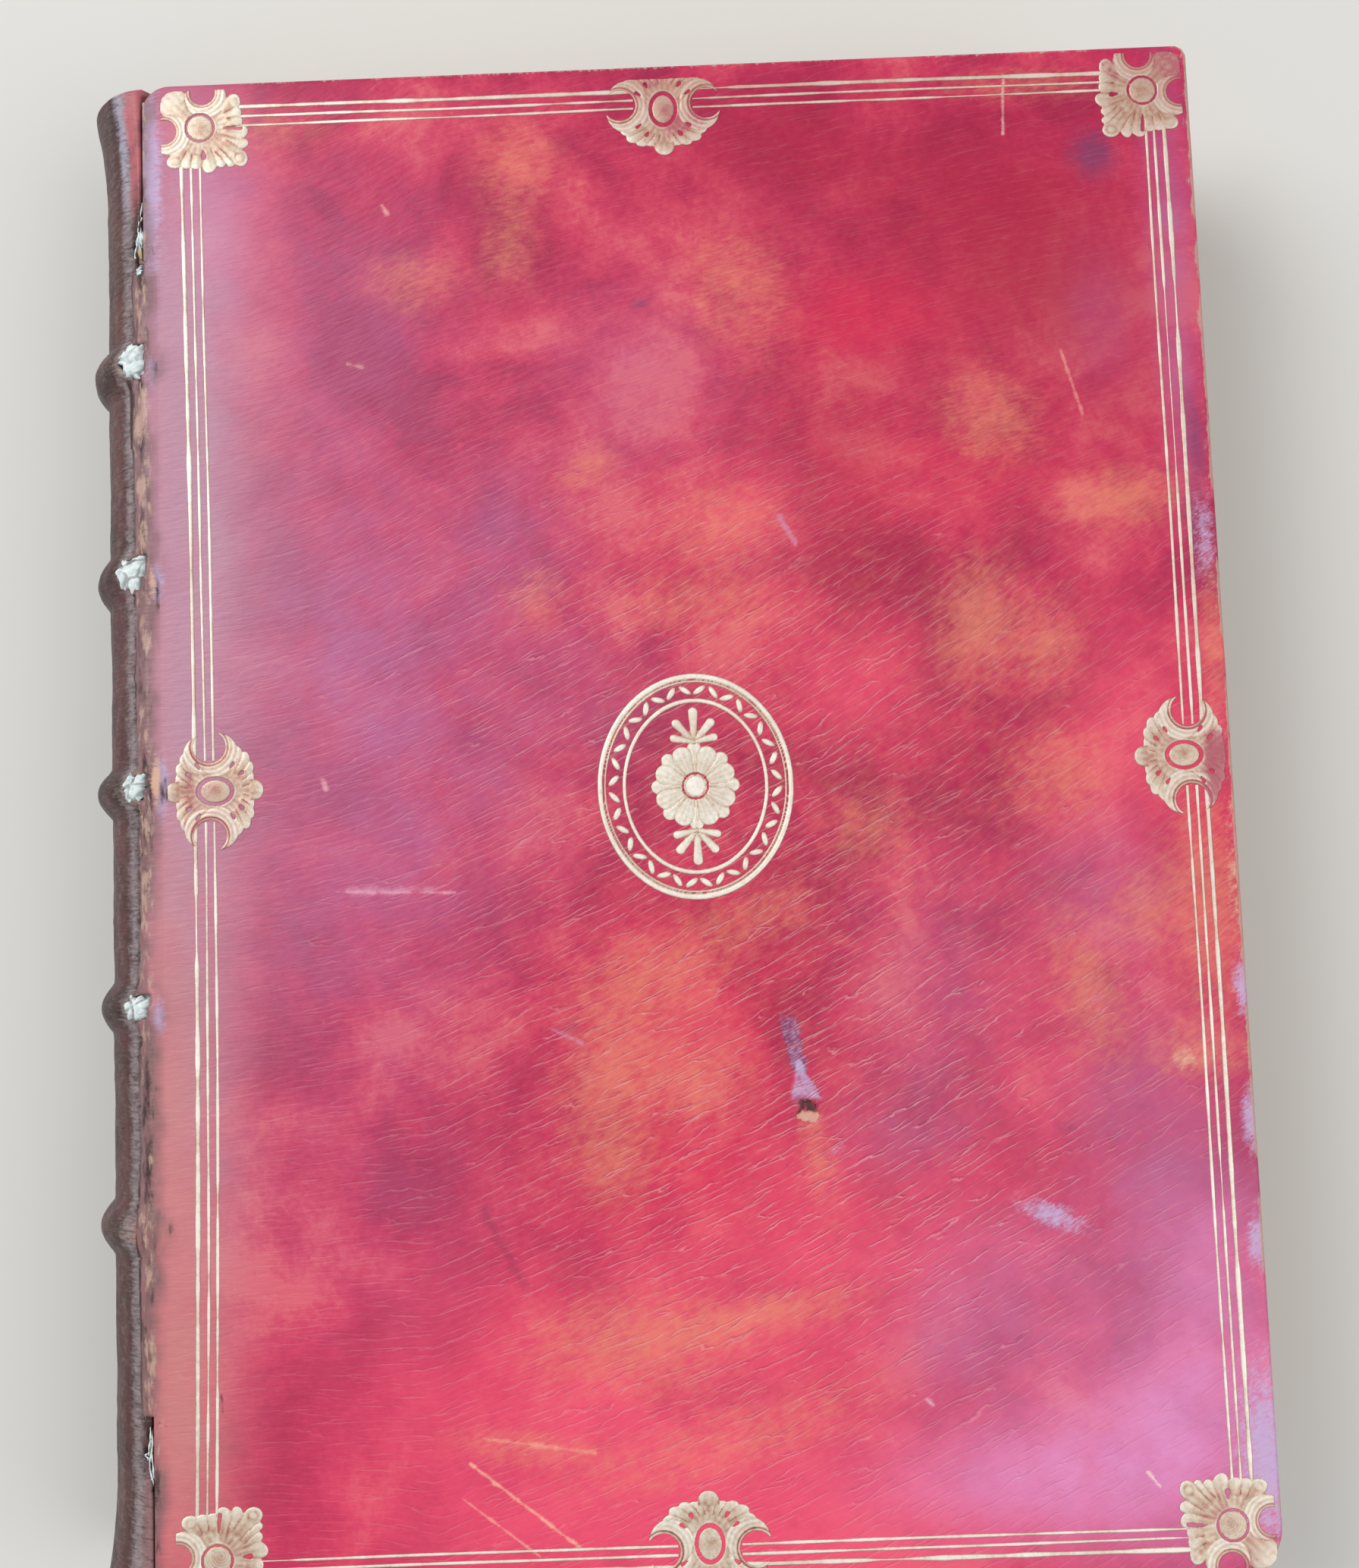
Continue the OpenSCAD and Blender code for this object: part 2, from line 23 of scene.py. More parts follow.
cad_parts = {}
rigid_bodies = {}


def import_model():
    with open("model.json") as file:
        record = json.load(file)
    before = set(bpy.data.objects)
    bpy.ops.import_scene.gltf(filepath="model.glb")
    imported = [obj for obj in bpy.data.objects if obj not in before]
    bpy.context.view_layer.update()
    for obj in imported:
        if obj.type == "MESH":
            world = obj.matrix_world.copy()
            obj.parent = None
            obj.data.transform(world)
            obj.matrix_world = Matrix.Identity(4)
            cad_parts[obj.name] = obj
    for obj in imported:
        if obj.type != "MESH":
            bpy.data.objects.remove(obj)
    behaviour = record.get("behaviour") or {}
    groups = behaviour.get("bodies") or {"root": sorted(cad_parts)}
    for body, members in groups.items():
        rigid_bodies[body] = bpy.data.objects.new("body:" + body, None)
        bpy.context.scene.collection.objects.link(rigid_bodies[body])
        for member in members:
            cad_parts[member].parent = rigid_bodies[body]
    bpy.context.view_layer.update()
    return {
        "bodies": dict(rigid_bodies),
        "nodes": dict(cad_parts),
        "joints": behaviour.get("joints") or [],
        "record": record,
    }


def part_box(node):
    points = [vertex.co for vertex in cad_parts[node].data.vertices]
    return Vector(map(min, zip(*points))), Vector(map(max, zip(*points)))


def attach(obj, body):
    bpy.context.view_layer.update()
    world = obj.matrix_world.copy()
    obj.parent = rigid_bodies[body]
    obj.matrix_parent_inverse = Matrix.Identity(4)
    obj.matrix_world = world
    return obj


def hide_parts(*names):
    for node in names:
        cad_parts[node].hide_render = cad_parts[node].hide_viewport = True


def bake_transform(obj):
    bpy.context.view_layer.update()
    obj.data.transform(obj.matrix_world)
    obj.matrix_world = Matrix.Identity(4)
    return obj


MM = 0.001
PHOTO_HEIGHT_PX = 2067
# Lattice points after which noise and cell noise repeat
NOISE_REPEAT = 256
CELL_REPEAT = 64
# Height of the front cover's face in the frame, where the marks lie
MARKED_FACE_MM = 38.0
Array = np.ndarray
Values = dict[str, Array]
Stops = tuple[tuple[float, str], ...]
Material = bpy.types.Material
Node = bpy.types.Node
Socket = bpy.types.NodeSocket
Tree = bpy.types.NodeTree
Put = Callable[..., Node]
log = logging.getLogger("book")


class Side(Enum):
    """The two covers."""

    FRONT = "front"
    BACK = "back"


# Number work


def linear(hex_colour: str) -> tuple[float, float, float, float]:
    """Turns an sRGB hex colour such as "#b02a46" into linear RGBA."""
    raw = np.array([int(hex_colour[i : i + 2], 16) for i in (1, 3, 5)]) / 255.0
    lin = np.where(raw <= 0.04045, raw / 12.92, ((raw + 0.055) / 1.055) ** 2.4)
    return (*(float(c) for c in lin), 1.0)


def ease(x: Array, low: float, high: float) -> Array:
    """Smooth step from 0 at low to 1 at high."""
    t = np.clip((x - low) / (high - low), 0.0, 1.0)
    return t * t * (3.0 - 2.0 * t)


def bell(x: Array, middle: float, width: float) -> Array:
    """Bell curve: 1 at the middle, and 1/e at the width from it."""
    return np.exp(-(((x - middle) / width) ** 2))


def noise(x: Array, y: Array | float, size: float, seed: int, octaves: int = 1) -> Array:
    """Value noise in -1 to 1: random lattice values, eased between lattice points.

    Args:
        x, y: Coordinates in millimetres.
        size: Spacing of the lattice in millimetres.
        seed: Seed of the lattice.
        octaves: Number of halvings that are summed.

    Returns:
        The noise at each point.
    """
    total = np.zeros(np.broadcast(x, y).shape)
    for octave in range(octaves):
        lattice = np.random.default_rng(seed + octave).uniform(-1, 1, (NOISE_REPEAT, NOISE_REPEAT))
        px, py = x / size * 2**octave, y / size * 2**octave
        ix, iy = np.floor(px).astype(int), np.floor(py).astype(int)
        tx, ty = ease(px - ix, 0, 1), ease(py - iy, 0, 1)
        corners = [[lattice[(ix + dx) % NOISE_REPEAT, (iy + dy) % NOISE_REPEAT] for dx in (0, 1)]
                   for dy in (0, 1)]
        low, high = (left * (1 - tx) + right * tx for left, right in corners)
        total += (low * (1 - ty) + high * ty) / 2**octave
    return total


def cells(x: Array, y: Array, size: float, seed: int) -> tuple[Array, Array]:
    """Cell noise: distance to the nearest scattered point, and how much nearer it is than the next.

    Args:
        x, y: Coordinates in millimetres.
        size: Spacing of the scattered points in millimetres.
        seed: Seed of their places.

    Returns:
        Both distances at each point, as shares of the spacing.
    """
    scatter = np.random.default_rng(seed).uniform(0.1, 0.9, (2, CELL_REPEAT, CELL_REPEAT))
    px, py = x / size, y / size
    ix, iy = np.floor(px).astype(int), np.floor(py).astype(int)
    found = []
    for dx in (-1, 0, 1):
        for dy in (-1, 0, 1):
            at = (ix + dx) % CELL_REPEAT, (iy + dy) % CELL_REPEAT
            found.append(np.hypot(ix + dx + scatter[0][at] - px, iy + dy + scatter[1][at] - py))
    nearest = np.sort(np.stack(found), axis=0)
    return nearest[0], nearest[1] - nearest[0]


def stations(low: float, high: float, step: float, dense: Sequence[tuple] = ()) -> Array:
    """Grid lines from low to high, with closer ones in the dense stretches.

    Args:
        low, high: First and last line.
        step: Usual spacing.
        dense: Stretches as (start, end, spacing).

    Returns:
        Places of the lines, in order.
    """
    count = max(2, round((high - low) / step) + 1)
    lines = np.linspace(low, high, count)
    for start, end, close in dense:
        start, end = max(start, low), min(end, high)
        kept = lines[(lines < start - close / 2) | (lines > end + close / 2)]
        extra = np.linspace(start, end, max(2, round((end - start) / close) + 1))
        lines = np.sort(np.concatenate([kept, extra]))
    lines[0], lines[-1] = low, high
    return lines


def grid_quads(rows: int, cols: int, wrap: bool = False) -> Array:
    """Faces of a grid of rows by cols points; wrap joins the last column to the first.

    Args:
        rows, cols: Points each way.
        wrap: Whether the last column meets the first.

    Returns:
        Corner numbers, (n, 4).
    """
    index = np.arange(rows * cols).reshape(rows, cols)
    if wrap:
        index = np.concatenate([index, index[:, :1]], axis=1)
    corners = (index[:-1, :-1], index[1:, :-1], index[1:, 1:], index[:-1, 1:])
    return np.stack(corners, axis=-1).reshape(-1, 4)


# Mesh pieces


@dataclass
class Surface:
    """Points, faces and per-point values of a piece, in millimetres."""

    points: Array
    faces: Array
    values: Values = field(default_factory=dict)
    uv: Array | None = None

    @staticmethod
    def on_grid(points: Array, values: Values | None = None, uv: Array | None = None,
                wrap: bool = False) -> "Surface":
        """Surface over a grid of points.

        Args:
            points: Rows by columns of points, (rows, cols, 3).
            values: Values at the same rows and columns.
            uv: Texture places at the same rows and columns.
            wrap: Whether the last column is joined to the first.

        Returns:
            The surface.
        """
        flat = {key: value.ravel() for key, value in (values or {}).items()}
        return Surface(points.reshape(-1, 3), grid_quads(*points.shape[:2], wrap), flat,
                       None if uv is None else uv.reshape(-1, 2))

    def joined(self, other: "Surface") -> "Surface":
        """Joins another surface to this one.

        Args:
            other: The surface that is added.

        Returns:
            Both as one.
        """
        shift = len(self.points)
        values = {k: np.concatenate([v, other.values[k]]) for k, v in self.values.items()}
        uv = None if self.uv is None else np.concatenate([self.uv, other.uv])
        faces = np.concatenate([self.faces, other.faces + shift])
        return Surface(np.concatenate([self.points, other.points]), faces, values, uv)

    def flipped(self) -> "Surface":
        """Returns the surface with its faces turned over."""
        return Surface(self.points, self.faces[:, ::-1], self.values, self.uv)

    def make(self, name: str, material: Material, slot: str, merge: bool = False) -> bpy.types.Object:
        """Makes the mesh object.

        Args:
            name: Name of the piece.
            material: Its material.
            slot: The record's material slot that it belongs to; not used.
            merge: Whether points that coincide are merged.

        Returns:
            The new object, at the origin.
        """
        mesh = bpy.data.meshes.new(name)
        faces = [tuple(dict.fromkeys(f)) for f in self.faces.tolist()]
        faces = [f for f in faces if len(f) > 2]
        mesh.from_pydata((self.points * MM).tolist(), [], faces)
        for key, value in self.values.items():
            attribute = mesh.attributes.new(key, "FLOAT", "POINT")
            attribute.data.foreach_set("value", value.astype(np.float32))
        if self.uv is not None:
            layer = mesh.uv_layers.new(name="grain")
            corner = np.empty(len(mesh.loops), int)
            mesh.loops.foreach_get("vertex_index", corner)
            layer.data.foreach_set("uv", self.uv[corner].astype(np.float32).ravel())
        mesh.polygons.foreach_set("use_smooth", [True] * len(mesh.polygons))
        if merge:
            bm = bmesh.new()
            bm.from_mesh(mesh)
            bmesh.ops.remove_doubles(bm, verts=bm.verts, dist=1e-6)
            bmesh.ops.dissolve_degenerate(bm, edges=bm.edges, dist=1e-7)
            bm.to_mesh(mesh)
            bm.free()
        mesh.materials.append(material)
        mesh.update()
        obj = placed(name, mesh)
        log.info("%s: %d faces", name, len(mesh.polygons))
        return obj


def placed(name: str, data: bpy.types.ID) -> bpy.types.Object:
    """Puts a mesh, lamp or camera into the scene.

    Args:
        name: Name of the object.
        data: What it shows.

    Returns:
        The object, at the origin.
    """
    obj = bpy.data.objects.new(name, data)
    bpy.context.scene.collection.objects.link(obj)
    return obj


def merged(parts: Iterable[Surface]) -> Surface:
    """Joins surfaces in their order."""
    return reduce(Surface.joined, parts)


def tube(path: Array, radius: Array, sides: int) -> Surface:
    """Round skin carried along a path: each ring is a circle square to the path.

    Args:
        path: Points along the middle, (n, 3).
        radius: Radius at each point.
        sides: Points in a ring.

    Returns:
        The tube, closed at both ends.
    """
    along = np.gradient(path, axis=0)
    along /= np.linalg.norm(along, axis=1, keepdims=True)
    first = np.cross(along, np.array([0.13, 0.97, 0.21]))
    first /= np.linalg.norm(first, axis=1, keepdims=True)
    second = np.cross(along, first)
    turn = np.linspace(0, 2 * np.pi, sides, endpoint=False)
    ring = first[:, None] * np.cos(turn)[:, None] + second[:, None] * np.sin(turn)[:, None]
    points = (path[:, None] + ring * radius[:, None, None]).reshape(-1, 3)
    faces = grid_quads(len(path), sides, wrap=True)
    caps = []
    for base, order in ((0, -1), ((len(path) - 1) * sides, 1)):
        loop = (base + np.arange(sides))[::order]
        for j in range(1, sides - 1, 2):
            caps.append([loop[0], loop[j], loop[j + 1], loop[min(j + 2, sides - 1)]])
    return Surface(points, np.concatenate([faces[:, ::-1], np.array(caps)]))


# Sizes


@dataclass(frozen=True)
class BookSizes:
    """Sizes taken from the frame, in millimetres."""

    joint_x: float
    top: float
    cover_w: float
    cover_h: float
    cover_t: float
    joint_edge: float
    spine_edge_z: float
    spine_end: float
    band_y: tuple[float, ...]
    band_w: float
    apex: float
    page_lo: tuple[float, float, float]
    page_hi: tuple[float, float, float]
    endband_y: tuple[float, float]
    band_h: float = 2.6
    leather: float = 0.9
    turn_in: float = 14.0
    turn_in_t: float = 0.5

    @staticmethod
    def from_frame(frame: dict) -> "BookSizes":
        """Reads the sizes from the CAD nodes' boxes and the joints.


        Returns:
            The sizes, in millimetres.
        """

        def box(name: str) -> list[list[float]]:
            """Lower and upper corner of a CAD node, in millimetres."""
            return (np.array(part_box(name)) / MM).tolist()

        cover_lo, cover_hi = box("front_leather")
        spine_lo, spine_hi = box("spine_leather")
        page_lo, page_hi = box("text_block")
        joint_x = frame["joints"][0]["pos_m"][0] / MM
        cords = [box(f"sewing_cord_{i}") for i in range(1, 6)]
        head_lo, head_hi = box("head_endband")
        return BookSizes(
            joint_x=joint_x,
            top=cover_hi[2],
            cover_w=cover_hi[0] - joint_x,
            cover_h=cover_hi[1] - cover_lo[1],
            cover_t=cover_hi[2] - cover_lo[2],
            joint_edge=cover_lo[0] - joint_x,
            spine_edge_z=(spine_hi[2] - spine_lo[2]) / 2,
            spine_end=spine_hi[1],
            band_y=tuple((low[1] + high[1]) / 2 for low, high in cords),
            # A cord is 0.8 of its band's width, as the leather goes over it
            band_w=(cords[0][1][1] - cords[0][0][1]) / 0.8,
            apex=joint_x - spine_lo[0],
            page_lo=tuple(page_lo),
            page_hi=tuple(page_hi),
            endband_y=(head_lo[1], head_hi[1]),
        )

    @property
    def middle(self) -> float:
        """Height of the book's mid-plane."""
        return self.top / 2

    @property
    def bulge(self) -> float:
        """How far the spine between the bands stands out past the joint."""
        return self.apex - self.band_h

    def arc(self) -> tuple[float, float, float]:
        """Works out the arc of the spine.

        Returns:
            Its radius, its middle (from the joint) and its half angle.
        """
        rise = self.bulge - self.joint_edge
        radius = (self.spine_edge_z**2 + rise**2) / (2 * rise)
        middle = radius - self.bulge
        return radius, middle, math.atan2(self.spine_edge_z, middle + self.joint_edge)


# Materials

# Nodes whose main output is the third: an attribute's number and a mixed colour
THIRD_OUTPUT = ("ShaderNodeAttribute", "ShaderNodeMix")


def add(tree: Tree, kind: str, inputs: dict | None = None, stops: Stops = (), **settings: object) -> Node:
    """Adds a shader node.

    Args:
        tree: The node tree.
        kind: The node's type, without its "ShaderNode" start.
        inputs: What each input takes, by name or number: a value, a socket, or a node, whose
            first output is meant, or the third of those in THIRD_OUTPUT.
        stops: Places and hex colours of a colour ramp.
        settings: Properties to set.

    Returns:
        The new node.
    """
    made = tree.nodes.new("ShaderNode" + kind)
    for key, value in settings.items():
        setattr(made, key, value)
    ramp = made.color_ramp.elements if stops else ()
    for _ in stops[2:]:
        ramp.new(0.5)
    for element, (place, colour) in zip(ramp, stops):
        element.position = place
        element.color = linear(colour)
    for key, value in (inputs or {}).items():
        if isinstance(value, Node):
            value = value.outputs[2 if value.bl_idname in THIRD_OUTPUT else 0]
        if isinstance(value, Socket):
            tree.links.new(value, made.inputs[key])
        else:
            made.inputs[key].default_value = value
    return made


def start_material(name: str) -> tuple[Material, Put, Socket]:
    """Starts a material with an empty node tree.

    Args:
        name: Name of the material.

    Returns:
        The material, the add function for its tree, and the place on the object.
    """
    material = bpy.data.materials.new(name)
    material.use_nodes = True
    material.node_tree.nodes.clear()
    put = partial(add, material.node_tree)
    return material, put, put("TexCoord").outputs["Object"]


@dataclass(frozen=True)
class Stain:
    """A colour laid over a surface where one of its values is high. Some are the leather's own colour and
    marks, others painted sheen, highlight and shadow.

    A soft stain follows its value closely. Any other is broken up by noise into streaks and
    grains, as rubbing, dye and dirt are; the streaks of an upward one run up the cover.
    """

    value: str
    colour: str
    strength: float = 1.0
    breakup_mm: float = 4.0
    breakup: float = 0.6
    sharpness: float = 0.45
    soft: bool = False
    upward: bool = False


@dataclass(frozen=True)
class Mark:
    """A scratch or smear on the front cover's face, between two places of the frame in mm."""

    start: tuple[float, float]
    end: tuple[float, float]
    half_width: float
    colour: str
    strength: float = 0.7


@dataclass(frozen=True)
class Leather:
    """Goatskin: dyed and glazed by hand, so fine creases cross its pores and catch the light."""

    name: str
    tones: Stops
    cloud_mm: float
    stains: tuple[Stain, ...]
    crease_sets: tuple[tuple[float, float], ...]
    crease_wide_mm: float
    crease_depth_mm: float
    lit: str
    lit_strength: float
    shaded: str
    shaded_strength: float
    roughness: tuple[float, float]
    specular: float
    marks: tuple[Mark, ...] = ()
    pore_mm: float = 0.9

    def creases(self, put: Put, grain: Node, shift_mm: float) -> Node:
        """Sets of nearly parallel wavy lines, each broken up into strokes a few millimetres long.

        Args:
            put: The material's add function.
            grain: Place along and across the grain, in millimetres.
            shift_mm: How far the lines are moved across the grain.

        Returns:
            1 on a crease and 0 away from it.
        """
        parts = put("SeparateXYZ", {0: grain})
        total = None
        for number, (spacing, slope) in enumerate(self.crease_sets):
            bent = put("Mapping", {0: grain, 1: (3.7 * number, 1.9 * number, 0.0),
                                   3: (1 / 22.0, 1 / 9.0, 1.0)})
            wave = put("TexNoise", {"Vector": bent, "Scale": 1.0, "Detail": 5.0,
                                    "Roughness": 0.55}, noise_dimensions="2D")
            phase = shift_mm / spacing + 50.0
            for number_of, share in ((parts.outputs[1], 1 / spacing),
                                     (parts.outputs[0], slope / spacing), (wave, 2.1)):
                phase = put("Math", {0: number_of, 1: share, 2: phase}, operation="MULTIPLY_ADD")
            near = put("Math", {0: phase, 1: 0.5}, operation="PINGPONG")
            line = put("MapRange", {0: near, 2: self.crease_wide_mm / spacing, 3: 1.0, 4: 0.0},
                       interpolation_type="SMOOTHSTEP")
            broken = put("Mapping", {0: grain, 1: (5.1 * number, 2.3 * number, 0.0),
                                     3: (1 / 8.0, 1 / 1.5, 1.0)})
            strokes = put("TexNoise", {"Vector": broken, "Scale": 1.0, "Detail": 2.0},
                          noise_dimensions="2D")
            shown = put("MapRange", {0: strokes, 1: 0.42, 2: 0.7}, interpolation_type="SMOOTHSTEP")
            drawn = put("Math", {0: line, 1: shown}, operation="MULTIPLY")
            total = put("Math", {0: total, 1: drawn}, operation="MAXIMUM") if total else drawn
        amount = put("Attribute", attribute_name="creased")
        return put("Math", {0: total, 1: amount}, operation="MULTIPLY")

    def stained(self, put: Put, place: Socket, grain: Node, colour: Node) -> Node:
        """Lays the stains over a colour, each broken up along the grain.

        Args:
            put: The material's add function.
            place: Place on the object.
            grain: Place along and across the grain, in millimetres.
            colour: Colour under them.

        Returns:
            The colour with the stains.
        """
        for stain in self.stains:
            value = put("Attribute", attribute_name=stain.value)
            size, loose, sharp = stain.breakup_mm, stain.breakup, stain.sharpness
            drawn = put("Mapping", {0: place, 3: (1.0, 0.3, 1.0)}) if stain.upward else place
            blots = put("TexNoise", {"Vector": drawn, "Scale": 1000 / size, "Detail": 6.0,
                                     "Roughness": 0.64})
            if stain.soft:
                swing = put("Math", {0: blots, 1: 2 * loose, 2: 1 - loose}, operation="MULTIPLY_ADD")
                level = put("Math", {0: value, 1: swing}, operation="MULTIPLY")
                mask = put("MapRange", {0: level, 4: stain.strength})
            else:
                stretched = put("Mapping", {0: grain, 3: (1.1 / size, 4.0 / size, 1.0)})
                streaks = put("TexNoise", {"Vector": stretched, "Scale": 1.0, "Detail": 4.0,
                                           "Roughness": 0.7}, noise_dimensions="2D")
                both = put("Math", {0: blots if stain.upward else streaks, 1: blots}, operation="ADD")
                pushed = put("Math", {0: both, 1: loose, 2: value}, operation="MULTIPLY_ADD")
                low = 0.5 + loose
                mask = put("MapRange", {0: pushed, 1: low - sharp, 2: low + sharp,
                                        4: stain.strength}, interpolation_type="SMOOTHSTEP")
                gate = put("Math", {0: value, 1: 4.0}, operation="MULTIPLY", use_clamp=True)
                mask = put("Math", {0: mask, 1: gate}, operation="MULTIPLY")
            colour = put("Mix", {0: mask, 6: colour, 7: linear(stain.colour)}, data_type="RGBA")
        return colour

    def marked(self, put: Put, place: Socket, colour: Node) -> Node:
        """Draws the scratches: each is strong near the line between its ends, and unevenly worn.

        Args:
            put: The material's add function.
            place: Place on the object.
            colour: Colour under the scratches.

        Returns:
            The colour with the scratches.
        """
        if not self.marks:
            return colour
        rough = put("TexNoise", {"Vector": place, "Scale": 1000 / 2.2, "Detail": 4.0, "Roughness": 0.7})
        for mark in self.marks:
            start, end = (np.array([*at, MARKED_FACE_MM]) * MM for at in (mark.start, mark.end))
            along = end - start
            half = mark.half_width * MM
            from_start = put("VectorMath", {0: place, 1: start}, operation="SUBTRACT")
            dot = put("VectorMath", {0: from_start, 1: along}, operation="DOT_PRODUCT").outputs["Value"]
            share = put("Math", {0: dot, 1: 1 / float(along @ along)}, operation="MULTIPLY", use_clamp=True)
            foot = put("VectorMath", {0: along, 3: share}, operation="SCALE")
            gap = put("VectorMath", {0: from_start, 1: foot}, operation="DISTANCE").outputs["Value"]
            # The noise moves the edge of the mark by up to its own half width
            moved = put("Math", {0: rough, 1: 3 * half, 2: gap}, operation="MULTIPLY_ADD")
            mask = put("MapRange", {0: moved, 1: 1.2 * half, 2: 2.5 * half, 3: mark.strength,
                                    4: 0.0}, interpolation_type="SMOOTHSTEP")
            colour = put("Mix", {0: mask, 6: colour, 7: linear(mark.colour)}, data_type="RGBA")
        return colour

    def material(self) -> Material:
        """Builds the material.

        Returns:
            The material.
        """
        material, put, place = start_material(self.name)
        grain = put("UVMap", uv_map="grain")
        cloud = put("TexNoise", {"Vector": place, "Scale": 1000 / self.cloud_mm, "Detail": 6.0,
                                 "Roughness": 0.6, "Distortion": 0.3})
        fine = put("TexNoise", {"Vector": place, "Scale": 1000 / 1.4, "Detail": 4.0, "Roughness": 0.75})
        both = put("Math", {0: fine, 1: 0.2, 2: cloud}, operation="MULTIPLY_ADD")
        shifted = put("Math", {0: both, 1: 0.1}, operation="SUBTRACT")
        colour = self.stained(put, place, grain, put("ValToRGB", {0: shifted}, self.tones))
        # Each crease gets a painted shadow in its groove and a painted highlight beside it, 0.16 mm across
        # the grain
        groove, side = self.creases(put, grain, 0.0), self.creases(put, grain, 0.16)
        for line, tint, strength in ((groove, self.shaded, self.shaded_strength),
                                     (side, self.lit, self.lit_strength)):
            weight = put("Math", {0: line, 1: strength}, operation="MULTIPLY")
            colour = put("Mix", {0: weight, 6: colour, 7: linear(tint)}, data_type="RGBA")
        colour = self.marked(put, place, colour)
        # Pores at the skin's own pitch, then folds about 1 mm wide that run with the grain
        pores = put("TexNoise", {"Vector": place, "Scale": 1000 / self.pore_mm, "Detail": 3.0,
                                 "Roughness": 0.6})
        pore_bump = put("Bump", {"Strength": 0.35, "Distance": 0.00006, "Height": pores})
        folded = put("Mapping", {0: grain, 3: (1 / 4.0, 1 / 0.9, 1.0)})
        folds = put("TexNoise", {"Vector": folded, "Scale": 1.0, "Detail": 3.0}, noise_dimensions="2D")
        fold_bump = put("Bump", {"Strength": 0.75, "Distance": 0.00018, "Height": folds,
                                 "Normal": pore_bump})
        height = put("Math", {0: groove, 1: -1.0}, operation="MULTIPLY")
        bump = put("Bump", {"Strength": 0.8, "Distance": self.crease_depth_mm * MM,
                            "Height": height, "Normal": fold_bump})
        low, high = self.roughness
        rough = put("MapRange", {0: fine, 1: 0.3, 2: 0.7, 3: low, 4: high})
        surface = put("BsdfPrincipled", {"Base Color": colour, "Roughness": rough,
                                         "Normal": bump, "Specular IOR Level": self.specular})
        put("OutputMaterial", {0: surface})
        return material


@dataclass(frozen=True)
class GoldLeaf:
    """Gold leaf pressed into leather with hot tools, dulled, and thin where it is rubbed."""

    name: str = "tooled_gold_leaf"
    metal: float = 0.25
    tones: Stops = ((0.0, "#8a4243"), (0.26, "#b28570"), (0.57, "#d1c1aa"), (0.94, "#f4eee2"))
    browned: str = "#a8604f"
    bared: str = "#a8485a"

    def material(self) -> Material:
        """Builds the material from each sheet's "shade", "worn" and "dull" values.

        Returns:
            The material.
        """
        material, put, place = start_material(self.name)
        shade, worn, dull = (put("Attribute", attribute_name=name) for name in ("shade", "worn", "dull"))
        specks = put("TexNoise", {"Vector": place, "Scale": 1000 / 0.8, "Detail": 5.0, "Roughness": 0.7})
        # The "shade" value is painted shading of the tooled relief: pale tips and rims, darker edges, veins
        # and sides
        tone = put("Math", {0: specks, 1: 0.8, 2: shade}, operation="MULTIPLY_ADD")
        tone = put("Math", {0: tone, 1: 0.42}, operation="SUBTRACT")
        gold = put("ValToRGB", {0: tone}, self.tones)
        gold = put("Mix", {0: dull, 6: gold, 7: linear(self.browned)}, data_type="RGBA")
        rubbed = put("Math", {0: specks, 1: 1.3, 2: worn}, operation="MULTIPLY_ADD")
        rubbed = put("Math", {0: tone, 1: -0.5, 2: rubbed}, operation="MULTIPLY_ADD")
        bare = put("MapRange", {0: rubbed, 1: 0.8, 2: 1.15, 4: 0.85}, interpolation_type="SMOOTHSTEP")
        colour = put("Mix", {0: bare, 6: gold, 7: linear(self.bared)}, data_type="RGBA")
        metal = put("MapRange", {0: bare, 3: self.metal, 4: 0.0})
        bump = put("Bump", {"Strength": 0.4, "Distance": 0.00004, "Height": specks})
        surface = put("BsdfPrincipled", {"Base Color": colour, "Roughness": 0.42,
                                         "Metallic": metal, "Normal": bump})
        put("OutputMaterial", {0: surface})
        return material


@dataclass(frozen=True)
class Paper:
    """Laid rag paper: matt, browned at its edges; as a block it shows its leaves as lines."""

    name: str
    light: str
    dark: str
    leaf_mm: float = 0.0
    line: str = "#8d734f"

    def material(self) -> Material:
        """Builds the material; a leaf thickness above 0 draws the edges of a stack.

        Returns:
            The material.
        """
        material, put, place = start_material(self.name)
        foxing = put("TexNoise", {"Vector": place, "Scale": 1000 / 22, "Detail": 6.0, "Roughness": 0.7})
        colour = put("ValToRGB", {0: foxing}, ((0.3, self.dark), (0.62, self.light)))
        height = put("TexNoise", {"Vector": place, "Scale": 1000 / 0.7, "Detail": 4.0})
        if self.leaf_mm:
            # Long along the leaves, and one leaf thick through them
            squeezed = put("Mapping", {0: place, 3: (20.0, 20.0, 1000 * (0.02 + 1 / self.leaf_mm))})
            height = put("TexNoise", {"Vector": squeezed, "Scale": 0.5, "Detail": 3.0, "Roughness": 0.7})
            edge = put("MapRange", {0: height, 1: 0.33, 2: 0.52, 3: 0.55, 4: 0.0},
                       interpolation_type="SMOOTHSTEP")
            colour = put("Mix", {0: edge, 6: colour, 7: linear(self.line)}, data_type="RGBA")
        bump = put("Bump", {"Strength": 0.5, "Distance": 0.00012, "Height": height})
        surface = put("BsdfPrincipled", {"Base Color": colour, "Roughness": 0.85,
                                         "Normal": bump, "Specular IOR Level": 0.25})
        put("OutputMaterial", {0: surface})
        return material


